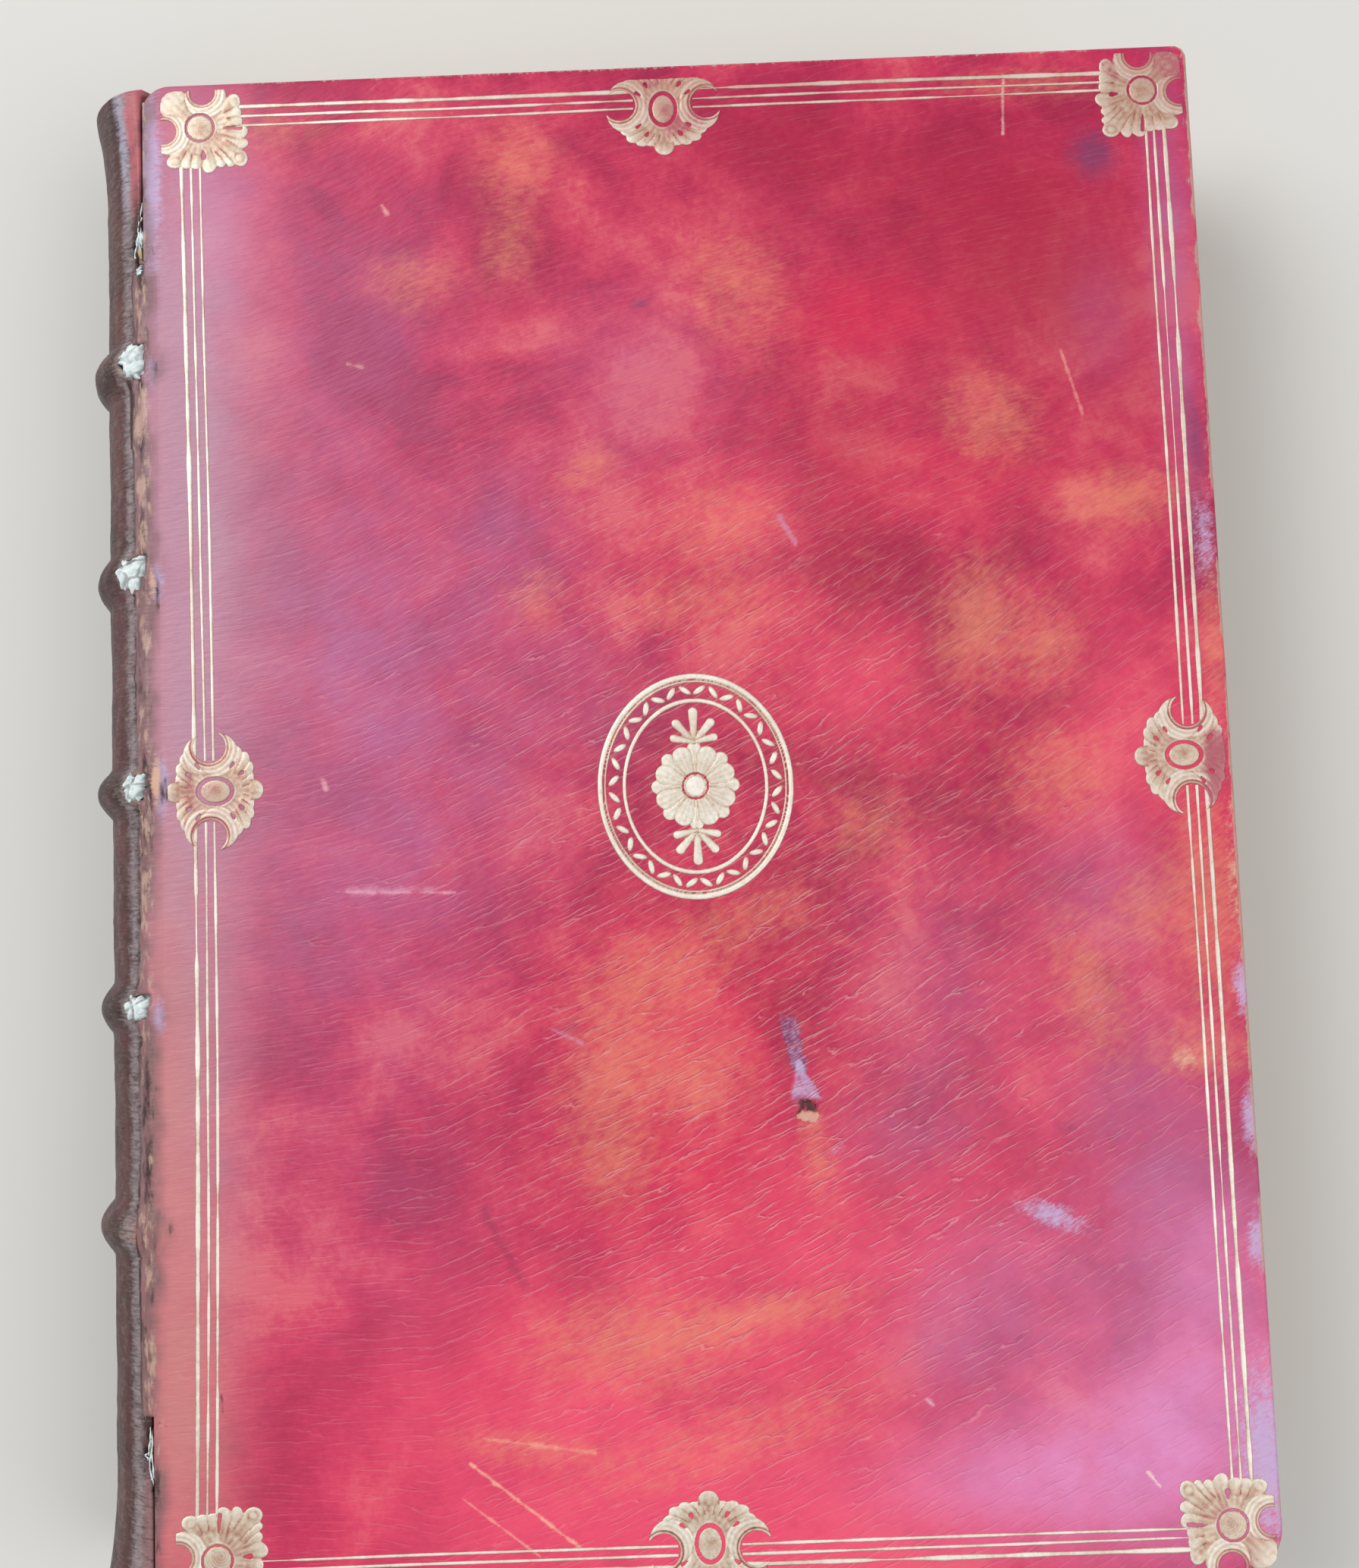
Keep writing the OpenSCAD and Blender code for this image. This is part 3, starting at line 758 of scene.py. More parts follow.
@dataclass(frozen=True)
class Fibre:
    """Spun fibre, such as hemp cord, silk or the felted core of millboard."""

    name: str
    tones: Stops
    grain_mm: float
    roughness: float = 0.8
    relief_mm: float = 0.08
    cracked: str = "#6c6a68"

    def material(self) -> Material:
        """Builds the material; cracks follow the "crack" value, where a piece has one.

        Returns:
            The material.
        """
        material, put, place = start_material(self.name)
        strands = put("TexNoise", {"Vector": place, "Scale": 1000 / self.grain_mm,
                                   "Detail": 5.0, "Roughness": 0.75})
        colour = put("ValToRGB", {0: strands}, self.tones)
        # Painted shade: the cracks between the blocks are drawn darker
        crack = put("Attribute", attribute_name="crack")
        colour = put("Mix", {0: crack, 6: colour, 7: linear(self.cracked)}, data_type="RGBA")
        bump = put("Bump", {"Strength": 0.7, "Distance": self.relief_mm * MM, "Height": strands})
        surface = put("BsdfPrincipled", {"Base Color": colour, "Roughness": self.roughness, "Normal": bump})
        put("OutputMaterial", {0: surface})
        return material


CRIMSON = Leather(
    name="crimson_goatskin",
    tones=((0.36, "#9e1443"), (0.45, "#b21f4c"), (0.51, "#bf2a51"), (0.57, "#c93b58"), (0.65, "#d65c66")),
    cloud_mm=24.0,
    stains=(
        Stain("deep", "#a40e38", 0.8, 12.0, 0.8, soft=True),
        Stain("red", "#d4204a", 0.9, 9.0, 0.9, soft=True),
        # Partly painted light: the large rose patches make the cover brighter towards the tail
        Stain("rose", "#ea4c6c", 0.88, 10.0, 0.7, soft=True),
        # Partly the leather's own tint, and over the left third of the cover a painted sheen
        Stain("mauve", "#b0608f", 0.85, 10.0, 0.95, soft=True),
        # Painted sheen, mostly at the bottom right and the top left of the front; it also tints the scuff's
        # flap
        Stain("orchid", "#dd8ec4", 0.92, 10.0, 0.6, soft=True),
        # Painted sheen: a pale lilac glow along the joint side of the covers
        Stain("veil", "#b3889c", 0.9, 9.0, 0.5, soft=True),
        # Along the joint towards the tail, partly a painted glint
        Stain("salmon", "#c67f7c", 0.85, 7.0, 0.4, soft=True),
        Stain("orange", "#e58f6c", 0.56, 3.0, 1.5, 0.85),
        Stain("stained", "#6a3560", 0.7, 2.4, 0.6, 0.5),
        # Pale lilac: a painted highlight along the joint edge, at the bottom right corner and on the joint
        # strips, and elsewhere pale marks such as the scuff
        Stain("bloom", "#beadd2", 0.8, 1.5, 1.1, 0.4),
        Stain("umber", "#7a5c5c", 0.92, 2.0, 0.5, soft=True, upward=True),
        # Dark flecks along the joint, and the painted shadow in the scuff's hole under its flap
        Stain("blackened", "#35201e", 0.95, 1.0, 1.0, 0.3, upward=True),
        Stain("fleck", "#bf9c8c", 0.8, 1.0, 1.5, 0.3, upward=True),
        Stain("rubbed", "#dcae92", 0.85, 1.4, 1.0, 0.35),
        Stain("bared", "#cfa48e", 0.9, 0.9, 0.9, 0.3),
    ),
    crease_sets=((1.3, 0.03), (2.1, -0.06), (3.3, 0.1)),
    crease_wide_mm=0.17,
    crease_depth_mm=0.08,
    lit="#f4b0b6",
    lit_strength=0.37,
    shaded="#84143a",
    shaded_strength=0.4,
    roughness=(0.36, 0.5),
    specular=0.34,
    marks=(
        Mark((-56.8, -14.2), (-35.8, -15.1), 0.45, "#e6a8b8", 0.6),
        Mark((-55.0, -14.0), (-40.0, -14.4), 1.1, "#dc9cb4", 0.4),
        Mark((70.0, 133.0), (69.3, 121.6), 0.5, "#e8c2bc", 0.65),
        Mark((-35.5, -114.2), (-17.0, -128.8), 0.5, "#f2b49c", 0.75),
        Mark((-33.0, -110.0), (-14.0, -113.0), 0.6, "#f0a890", 0.5),
        Mark((-37.0, -120.0), (-24.0, -130.0), 0.35, "#f2b49c", 0.5),
        Mark((77.7, 80.0), (81.0, 68.0), 0.5, "#e89a8a", 0.6),
        Mark((81.5, -119.5), (83.5, -122.0), 0.5, "#f4e4d0", 0.7),
        Mark((-32.0, -71.0), (-25.4, -84.0), 1.6, "#84264e", 0.4),
        Mark((-78.6, -101.0), (-78.4, -104.0), 0.35, "#4a2026", 0.7),
        Mark((-46.0, 112.6), (-45.4, 111.0), 0.7, "#e8b8a8", 0.6),
        Mark((-53.0, 82.6), (-50.5, 82.0), 0.6, "#dcae9e", 0.5),
        Mark((25.0, 51.0), (27.6, 46.0), 0.8, "#c890b0", 0.5),
        Mark((-59.0, 6.0), (-58.6, 4.4), 0.7, "#f0b0b8", 0.6),
        Mark((-19.0, -40.0), (-14.0, -42.6), 0.8, "#c8a0c0", 0.5),
        Mark((44.0, -106.0), (45.0, -107.0), 0.7, "#ecc0d8", 0.6),
    ),
)
BACKSTRIP = Leather(
    name="darkened_goatskin",
    tones=((0.3, "#170c0b"), (0.45, "#2b1817"), (0.58, "#442926"), (0.75, "#62443f")),
    cloud_mm=9.0,
    stains=(
        Stain("red", "#5d2023", 0.7, 6.0, 0.6, 0.5),
        Stain("salmon", "#a07878", 0.7, 2.0, 0.9, 0.4),
        # Painted sheen: a soft grey highlight along the spine
        Stain("grey", "#a39799", 0.75, 2.2, 0.9, 0.4),
        Stain("rubbed", "#b08b70", 0.75, 1.4, 0.9, 0.35),
        Stain("skinned", "#b46066", 0.92, 2.0, 0.6, soft=True),
        # Painted sheen: a lilac highlight near the head
        Stain("bloom", "#b3acc0", 0.7, 2.0, 1.0, 0.4),
    ),
    crease_sets=((1.7, 0.05), (2.3, 0.3)),
    crease_wide_mm=0.25,
    crease_depth_mm=0.14,
    lit="#7c625c",
    lit_strength=0.28,
    shaded="#120807",
    shaded_strength=0.6,
    roughness=(0.34, 0.55),
    specular=0.35,
)
GOLD = GoldLeaf()
PAGES = Paper("aged_page_edges", "#dccda8", "#cbb58a", leaf_mm=0.34)
ENDPAPER = Paper("plain_endpaper", "#e4dabf", "#d9caa6")
LINING = Paper("pasted_lining_paper", "#cdb98f", "#a98f62")
HEMP = Fibre("frayed_hemp_cord", ((0.3, "#a3b2b4"), (0.48, "#d0dbda"), (0.7, "#eef3ef")), 1.3, 0.7, 0.05)
SILK = Fibre("wound_silk", ((0.3, "#9c7c50"), (0.7, "#d8c498")), 0.4, 0.5, 0.04)
SILK_RED = Fibre("wound_red_silk", ((0.3, "#7c2530"), (0.7, "#a8444c")), 0.4, 0.5, 0.04)
MILLBOARD = Fibre("millboard", ((0.3, "#8d7857"), (0.7, "#b8a27c")), 1.6)


# Covers


@dataclass(frozen=True)
class Patch:
    """One soft-edged place on a cover, in millimetres from the joint and from mid-height."""

    value: str
    u: float
    v: float
    across: float
    up: float
    weight: float = 1.0
    turn_deg: float = 0.0

    def on(self, u: Array, v: Array) -> Array:
        """Bell curve: 1 at the middle, fading over the place's half width and half height.

        Args:
            u, v: Place on the cover.

        Returns:
            The patch's weight at each point.
        """
        c, s = math.cos(math.radians(self.turn_deg)), math.sin(math.radians(self.turn_deg))
        du, dv = u - self.u, v - self.v
        a, b = (du * c + dv * s) / self.across, (dv * c - du * s) / self.up
        return self.weight * np.exp(-(a * a + b * b))


def patches(value: str, *places: tuple[float, ...]) -> tuple[Patch, ...]:
    """Patches of one value, each given as (u, v, across, up, weight, turn)."""
    return tuple(Patch(value, *place) for place in places)


FRONT_PATCHES = (
    *patches("orange", (115, -5, 70, 110, 0.14), (50, 98, 8, 5, 0.5), (70, 120, 7, 7, 0.55),
             (68, 104, 5, 8, 0.4), (110, 94, 8, 10, 0.5, 20), (155, 68, 7, 8, 0.6, 30),
             (177, 52, 9, 4.5, 0.95, 4), (106, 50, 9, 6, 0.5), (100, 36, 12, 4, 0.45),
             (71, 38, 4, 4, 0.5), (81, 62, 5, 3, 0.5, 30), (151, 30, 5.5, 9, 0.95, -8),
             (163, 26, 5, 7, 0.7), (164, 2, 8, 7, 0.55), (130, -6, 6, 5, 0.5),
             (108, -22, 10, 4, 0.4, 20), (189, -22, 6, 16, 0.75), (178, -22, 6, 5, 0.6, 40),
             (167, -36, 5, 11, 0.7, 12), (186, -48, 7, 4, 0.7), (90, -31, 11, 6, 0.6, 20),
             (82, -49, 7, 11, 0.72, -12), (96, -50, 8, 5, 0.5), (82, -64, 6, 6, 0.55),
             (118, -64, 2.4, 8, 0.55, 10), (84, -95, 15, 7, 0.75), (106, -91, 15, 2.6, 0.85, 10),
             (66, -112, 12, 2.5, 0.6, -8), (100, -112, 24, 5, 0.4, 15), (20, 128, 14, 4, 0.4),
             (165, 131, 14, 3, 0.4), (193, 24, 2, 12, 0.7)),
    *patches("red", (133, 88, 13, 8, 0.8), (150, 58, 20, 10, 0.4), (95, -40, 22, 20, 0.5),
             (100, -68, 24, 10, 0.5), (190, -10, 8, 20, 0.5), (60, -98, 22, 14, 0.35)),
    *patches("deep", (120, 122, 20, 11, 0.8), (150, 112, 24, 14, 0.55), (170, 98, 18, 20, 0.75),
             (178, 74, 10, 16, 0.4), (152, 92, 22, 16, 0.5), (126, 68, 12, 12, 0.45),
             (128, 45, 10, 16, 0.45), (22, 44, 6, 14, 0.3), (60, -60, 14, 18, 0.25),
             (150, 5, 12, 10, 0.25)),
    # Over the left third this mauve is a painted sheen; elsewhere it is the leather's tint
    *patches("mauve", (34, 34, 24, 26, 0.62), (52, 8, 24, 26, 0.45), (66, 48, 14, 16, 0.45),
             (36, 88, 22, 32, 0.45), (90, 78, 16, 16, 0.4), (82, 20, 14, 12, 0.3),
             (34, -18, 24, 20, 0.45), (40, -62, 24, 30, 0.25), (170, -18, 12, 12, 0.5),
             (140, -36, 14, 22, 0.4), (134, -60, 12, 8, 0.4), (175, -64, 14, 24, 0.6),
             (142, -97, 13, 11, 0.6), (176, 86, 6, 12, 0.3), (190, 104, 4, 26, 0.7),
             (190, 68, 3, 18, 0.5)),
    # Painted sheen at the bottom right and the top left; the last patch tints the scuff's flap
    *patches("orchid", (178, -114, 24, 20, 0.72), (150, -120, 22, 9, 0.55), (186, -84, 13, 18, 0.45),
             (150, -84, 16, 10, 0.25), (12, 112, 9, 22, 0.4), (115.2, -52.6, 1.0, 1.4, 1.2)),
    # The large patches at the tail are painted light, brighter towards the bottom
    *patches("rose", (84, -108, 56, 28, 0.85), (122, -78, 24, 16, 0.6), (160, -50, 20, 30, 0.3),
             (110, -130, 60, 12, 0.7), (128, 20, 14, 12, 0.6), (176, 8, 14, 22, 0.5),
             (110, 50, 14, 14, 0.5)),
    # Painted sheen along the joint side
    *patches("veil", (6, 84, 13, 54, 0.95), (6, 4, 11, 56, 0.75), (8, -60, 10, 40, 0.4),
             (20, 30, 16, 60, 0.25), (4, 40, 6, 60, 0.3)),
    # Partly a painted glint along the joint towards the tail
    *patches("salmon", (4, -50, 8, 40, 0.7), (5, -108, 9, 34, 0.9), (2, 20, 3, 90, 0.3)),
    *patches("stained", (176.6, 117, 4.5, 5, 0.95), (91.8, 91.8, 2.4, 1.2, 0.7, 20),
             (75, -40, 2.6, 1.8, 0.4), (162, -60, 3, 1.4, 0.4), (192, 62, 1.8, 10, 0.75, 4),
             (190.6, 44, 1.6, 10, 0.6)),
    # Along the joint edge and at the bottom right corner this pale lilac is a painted highlight
    *patches("bloom", (192.5, 44, 2.2, 9, 0.55), (193, -118, 5, 16, 0.9), (194.2, -37, 1.6, 5, 0.9),
             (194.1, -60, 1.6, 6, 0.9), (193.7, -81, 1.6, 5, 0.9), (1.5, 120, 2.4, 20, 1.0),
             (1.8, 83, 1.4, 3.6, 0.6), (2.2, 43, 1.5, 3.6, 1.0), (2.6, 6, 1.5, 5.0, 1.2),
             (2.0, -35, 1.3, 3.2, 0.8), (158.5, -75.5, 6, 2.0, 0.85, -22),
             (121.5, -62.5, 1.8, 0.8, 0.4, 35)),
    *patches("rubbed", (194, -16, 1.3, 14, 0.5), (183.3, -49, 2.6, 2.4, 0.55), (1.9, 7, 0.8, 4.2, 1.0),
             (1.7, 43, 0.7, 3.2, 0.7)),
    *patches("blackened", (3.3, 4, 0.6, 3.0, 0.7), (1.0, 6, 0.5, 4.0, 0.7), (2.4, 41, 0.5, 2.6, 0.6)),
    *patches("creased", (110, -60, 60, 70, 0.8), (100, 26, 70, 44, 0.55), (150, -60, 40, 50, 0.3)),
)
BACK_PATCHES = (
    *patches("orange", (60, 80, 14, 10, 0.5), (140, -60, 16, 9, 0.6), (96, 12, 18, 9, 0.5, 20)),
    *patches("mauve", (30, -60, 30, 50, 0.5), (150, 70, 30, 30, 0.4)),
    *patches("deep", (120, 40, 30, 24, 0.6)),
    *patches("rose", (100, -60, 50, 40, 0.5)),
    # Painted sheen along the joint side
    *patches("veil", (6, 0, 10, 130, 0.6)),
    *patches("salmon", (3, 0, 6, 150, 0.6)),
    *patches("creased", (110, 0, 70, 110, 0.8)),
)
COVER_VALUES = (*(stain.value for stain in CRIMSON.stains), "creased")


@dataclass(frozen=True)
class Scuff:
    """A graze that ends in a torn flap of skin over a hole, in millimetres on the front cover.

    Heights above the flap's root are measured up the cover. The graze leans with its height.
    """

    u: float = 116.3
    v: float = -53.8
    lean: float = 0.19
    flap: tuple[float, float] = (2.9, 7.6)
    graze: tuple[float, float, float] = (5.0, 16.5, 1.7)
    hole: tuple[float, float] = (2.2, 2.3)

    def shapes(self, u: Array, v: Array) -> dict[str, Array]:
        """Strength from 0 to 1 of the flap, the graze, the hole and its upper half, for the painted shadow
        under the flap.

        Args:
            u, v: Place on the cover.

        Returns:
            The four strengths, by name.
        """
        up = v - self.v
        off = u - self.u + self.lean * np.maximum(up, 0) + 0.35 * noise(u, v, 1.3, 17, 3)
        wide, tall = self.flap
        flap = ease(wide * (1 - up / tall) - np.abs(off), -0.1, 0.35) * ease(up, -0.2, 0.1)
        low, high, half = self.graze
        graze = ease(half - np.abs(off), -0.3, 0.6) * ease(up, low - 1, low + 1)
        graze = graze * (1 - ease(up, high - 4, high))
        reach = np.hypot(off / self.hole[0], (up + 0.9 * self.hole[1]) / self.hole[1])
        hole = 1 - ease(reach + 0.22 * noise(u, v, 1.2, 19, 3), 0.75, 1.0)
        return {"flap": flap, "graze": graze, "hole": hole * (up < 0.1),
                "under": hole * ease(up + 0.5 * noise(u, v, 1.1, 27, 2), -3.0, -1.6) * (up < 0.1)}


SCUFF = Scuff()


class Grain:
    """Direction of the leather's wrinkles: nearly level at the joint, rising to the fore-edge."""

    # Slope in degrees at a few distances from the joint
    SLOPES = ((0.0, 4.0), (18.0, 7.0), (50.0, 24.0), (110.0, 30.0), (195.0, 36.0))

    def __init__(self, width: float) -> None:
        """Sums the slope from the joint outwards, so that a wrinkle can be followed.

        Args:
            width: Width of the cover.
        """
        self.u = np.linspace(-20.0, width + 20.0, 400)
        at, degrees = np.array(self.SLOPES).T
        slope = np.radians(np.interp(self.u, at * width / at[-1], degrees))
        step = self.u[1] - self.u[0]
        self.slope = slope
        self.rise, self.run = np.cumsum(np.tan(slope)) * step, np.cumsum(1 / np.cos(slope)) * step

    def uv(self, u: Array, v: Array) -> Array:
        """Place along the wrinkles and across them, in millimetres, as UV coordinates.

        Towards the head the wrinkles flatten out to a quarter of their slope.

        Args:
            u, v: Place on the cover.

        Returns:
            The coordinates, (..., 2).
        """
        along = np.interp(u, self.u, self.run)
        share = 1 - 0.75 * ease(v, 40.0, 130.0)
        across = (v - share * np.interp(u, self.u, self.rise)) * np.cos(np.interp(u, self.u, self.slope))
        return np.stack([along, across], axis=-1)


@dataclass
class Cover:
    """One cover: its skin, tooling and pasted paper."""

    sizes: BookSizes
    side: Side
    edge_r: float = 0.8
    joint_corner: float = 5.0
    fore_corner: float = 2.2
    worn_corner: float = 8.0
    step: float = 1.1

    def __post_init__(self) -> None:
        """Sets the outline and the patches of this side."""
        self.front = self.side is Side.FRONT
        self.wide, self.half = self.sizes.cover_w, self.sizes.cover_h / 2
        self.grain = Grain(self.wide)
        self.patches = FRONT_PATCHES if self.front else BACK_PATCHES
        tail = self.worn_corner if self.front else self.fore_corner
        # Corners anticlockwise from the tail at the joint: radius, middle and outward signs
        self.corner_r = np.array([self.joint_corner, tail, self.fore_corner, self.joint_corner])
        self.sign = np.array([[-1, -1], [1, -1], [1, 1], [-1, 1]], float)
        ends = np.array([self.sizes.joint_edge, self.wide])
        self.tips = np.stack([ends[[0, 1, 1, 0]], self.half * self.sign[:, 1]], axis=1)
        self.corner_mid = self.tips - self.sign * self.corner_r[:, None]

    @property
    def body(self) -> str:
        """Body that the cover's pieces ride on."""
        return f"{self.side.value}_cover"

    def place(self, u: Array, v: Array, w: Array) -> Array:
        """Frame points of cover coordinates: u from the joint, v up the cover, w out of its face."""
        x = self.sizes.joint_x + u
        z = self.sizes.top + w if self.front else -w
        return np.stack(np.broadcast_arrays(x, v, z), axis=-1)

    def turned(self, surface: Surface) -> Surface:
        """Turns the faces over on the back cover, which is a mirror image."""
        return surface if self.front else surface.flipped()

    def relief(self, u: Array, v: Array) -> Array:
        """Height of the leather over its flat face: waves, cord swellings and the torn scuff.

        Args:
            u, v: Place on the cover.

        Returns:
            The height, in millimetres.
        """
        seed = 11 if self.front else 31
        inside = np.minimum.reduce([u - 0.2, self.wide - u, self.half - np.abs(v)])
        height = 0.1 * noise(u, v, 42, seed, 2) + 0.045 * noise(u, v, 7, seed + 5, 2)
        height = height * ease(inside, 0.0, 6.0)
        for i, band in enumerate(self.sizes.band_y):
            drift = 1.0 + 0.25 * math.sin(3.7 * i + seed)
            height = height + 0.5 * drift * bell(v, band, 3.4 * drift) * bell(np.maximum(u, 1.2), 1.2, 5.0)
        if self.front:
            shape = SCUFF.shapes(u, v)
            lifted = 0.5 * shape["flap"] * np.clip(1.1 - (v - SCUFF.v) / SCUFF.flap[1], 0, 1)
            sunk = 0.12 * shape["graze"] + (0.55 + 0.25 * noise(u, v, 1.2, 23)) * shape["hole"]
            return height + lifted - sunk
        # The back lies on the table, so nothing stands out of its face
        return np.minimum(height - 0.3, -0.25) * ease(inside, 0.0, 3.0)

    def worn_joint(self, u: Array, v: Array) -> Values:
        """Browned leather along the joint with pale and dark flecks that run up and down it.

        Args:
            u: Distance from the ridge, negative on the spine's side.
            v: Height up the cover.

        Returns:
            What each stain gains there.
        """
        seed = 201 if self.front else 205
        reach = 1.6 + 1.0 * noise(v, 0, 15, seed, 2) + 0.7 * noise(u, v, 3.2, seed + 1, 3)
        brown = 1 - ease(u, reach - 1.7, reach + 1.5)
        pale = 0.3 + 0.28 * noise(v, 0, 12, seed + 3, 2) + 0.3 * noise(u, 0.4 * v, 1.6, seed + 2, 2)
        dark = 0.4 + 0.5 * noise(1.5 * u, 0.3 * v, 1.6, seed + 4, 3)
        ridge = bell(u, -0.2, 1.7)
        torn = 0 * v
        for band in self.sizes.band_y if self.front else ():
            oval = np.hypot((u + 0.6 + 0.5 * noise(u, v, 2.0, seed + 6, 3)) / 3.6, (v - band) / 4.4)
            torn = np.maximum(torn, bell(oval, 1, 0.34) * (0.7 + 0.5 * noise(u, v, 3.0, seed + 7, 2)))
        return {"umber": np.maximum(brown, 0.55 * torn), "fleck": np.maximum(pale, 0.3 * torn) * ridge,
                "blackened": np.maximum(dark * ridge * brown, 0.22 * torn)}

    def values(self, u: Array, v: Array) -> Values:
        """Stain values from the patches, and the rubbed edges.

        Args:
            u, v: Place on the cover.

        Returns:
            Strength of each stain at each point.
        """
        found = {key: np.zeros(u.shape) for key in COVER_VALUES}
        for patch in self.patches:
            found[patch.value] += patch.on(u, v)
        for key, value in self.worn_joint(u, v).items():
            found[key] += value
        if self.front:
            flap, graze, hole, under = SCUFF.shapes(u, v).values()
            found["stained"] += 0.85 * graze + 0.45 * flap
            found["bloom"] += 0.5 * flap + 0.35 * graze
            found["orchid"] = found["orchid"] * (1 - flap) + 0.45 * flap
            found["bared"] += 0.95 * (hole - under)
            # Painted shadow in the upper half of the hole, under the flap
            found["blackened"] += 0.7 * under
            found["creased"] = (found["creased"] + 0.16) * (1 - hole)
        off_u, off_v = self.wide - u, self.half - np.abs(v)
        found["rubbed"] += 0.3 * np.exp(-np.maximum(np.minimum(off_u, off_v), 0) / 0.7)
        found["rubbed"] += 0.5 * bell(np.hypot(off_u, off_v), 0, 4.0)
        return {key: np.clip(value, 0, 1.4) for key, value in found.items()}

    def outline(self, first: Array, second: Array, share: Array, normal: Array, inset: Array) -> Array:
        """Rings of points of the rounded outline, each drawn in by its own distance.

        Each point lies between two corner arcs: it is the blend, by share, of the point that
        its direction picks on either arc, whose middle moves inwards once the arc is used up.

        Args:
            first, second: Numbers of the two corners.
            share: 0 at the first corner to 1 at the second.
            normal: Outward directions, (n, 2).
            inset: Distance inwards, (rings, n).

        Returns:
            The points, (rings, n, 2).
        """
        ends = []
        for corner in (first, second):
            radius = self.corner_r[corner]
            spent = np.maximum(inset - radius, 0)[..., None]
            mid = self.corner_mid[corner] - self.sign[corner] * spent
            ends.append(mid + normal * np.maximum(radius - inset, 0)[..., None])
        return ends[0] * (1 - share)[:, None] + ends[1] * share[:, None]

    def top_grid(self) -> tuple[Array, Array]:
        """Grid over the flat face, its corners eased from square to round.

        Returns:
            The grid's u and v.
        """
        e, (u0, v0), (u1, v1) = self.edge_r, self.tips[0], self.tips[2]
        scuff_u = [(110, 120.5, 0.3)] if self.front else []
        scuff_v = [(-60.5, -36, 0.35)] if self.front else []
        u_lines = stations(u0 + e, u1 - e, self.step, [(u0 + e, 9, 0.9), *scuff_u])
        v_lines = stations(v0 + e, v1 - e, self.step, scuff_v)
        u, v = np.meshgrid(u_lines, v_lines, indexing="ij")
        for k in range(4):
            radius = self.corner_r[k] - e
            a = (u - self.corner_mid[k, 0]) * self.sign[k, 0] / radius
            b = (v - self.corner_mid[k, 1]) * self.sign[k, 1] / radius
            here = (a > 0) & (b > 0)
            round_a = a * np.sqrt(np.clip(1 - b * b / 2, 0, 1))
            round_b = b * np.sqrt(np.clip(1 - a * a / 2, 0, 1))
            u = np.where(here, self.corner_mid[k, 0] + self.sign[k, 0] * radius * round_a, u)
            v = np.where(here, self.corner_mid[k, 1] + self.sign[k, 1] * radius * round_b, v)
        return u, v

    def skin(self) -> Surface:
        """The leather: a face grid, then rings round its outline that follow the edge's profile.

        Returns:
            The closed skin of the front cover, or the back one's mirror image.
        """
        u, v = self.top_grid()
        rows, cols = u.shape
        w = self.relief(u, v)
        face = Surface.on_grid(self.place(u, v, w), self.values(u, v), self.grain.uv(u, v))
        index = np.arange(rows * cols).reshape(rows, cols)
        loop = np.concatenate([index[:-1, 0], index[-1, :-1], index[:0:-1, -1], index[0, :0:-1]])
        side = np.repeat([0, 1, 2, 3], [rows - 1, cols - 1, rows - 1, cols - 1])
        lu, lv, lw = u.ravel()[loop], v.ravel()[loop], w.ravel()[loop]
        outward = np.array([[0, -1], [1, 0], [0, 1], [-1, 0]], float)
        normal = outward[side]
        first, second = side.copy(), (side + 1) % 4
        axis = np.where(side % 2 == 0, 0, 1)
        here = np.where(axis == 0, lu, lv)
        low = self.corner_mid[first, axis]
        share = (here - low) / (self.corner_mid[second, axis] - low)
        for k in range(4):
            off = np.stack([lu, lv], axis=1) - self.corner_mid[k]
            at = (off * self.sign[k] > 1e-6).all(axis=1)
            normal[at] = off[at] / np.linalg.norm(off[at], axis=1, keepdims=True)
            first[at] = second[at] = k
            share[at] = 0.0
        full, cut = self.edge_profiles()
        gone = np.cumsum(np.hypot(*np.diff(full, axis=0, prepend=full[:1]).T))[:, None]
        wrap = ease(1 - np.maximum(-normal[:, 0], 0) ** 3, 0, 1)
        inset, drop = np.moveaxis(wrap * full[..., None] + (1 - wrap) * cut[..., None], 1, 0)
        ring_u, ring_v = np.moveaxis(self.outline(first, second, share, normal, inset), 2, 0)
        values = self.values(ring_u, ring_v)
        # A thin line along the bend is rubbed pale, more on the fore-edge than at head and tail
        streak = ease(noise(lu + lv, lu - lv, 16.0, 211, 4), -0.5, 0.1)
        streak = streak * (0.45 + 0.55 * np.abs(normal[:, 0]))
        values["fleck"] += wrap * streak * bell(gone, 0.5, 0.45)
        values["rubbed"] = 0.5 * wrap * bell(gone, self.sizes.cover_t, 1.2)
        uv = self.grain.uv(ring_u + normal[:, 0] * gone, ring_v + normal[:, 1] * gone)
        rings = self.place(ring_u, ring_v, lw * np.exp(-gone / 1.5) - drop)
        body, count = face.joined(Surface.on_grid(rings, values, uv, wrap=True)), len(loop)
        last = len(body.points) - count + np.arange(count)
        middle = self.place(np.array([self.wide / 2]), 0.0, -self.sizes.leather)
        hub = np.full(count, len(body.points))
        lid = np.stack([np.roll(last, -1), last, hub, hub], axis=1)
        points = np.concatenate([body.points, middle])
        values = {k: np.append(a, 0.0) for k, a in body.values.items()}
        uv = np.concatenate([body.uv, [[0.0, 0.0]]])
        return Surface(points, np.concatenate([body.faces, lid]), values, uv)

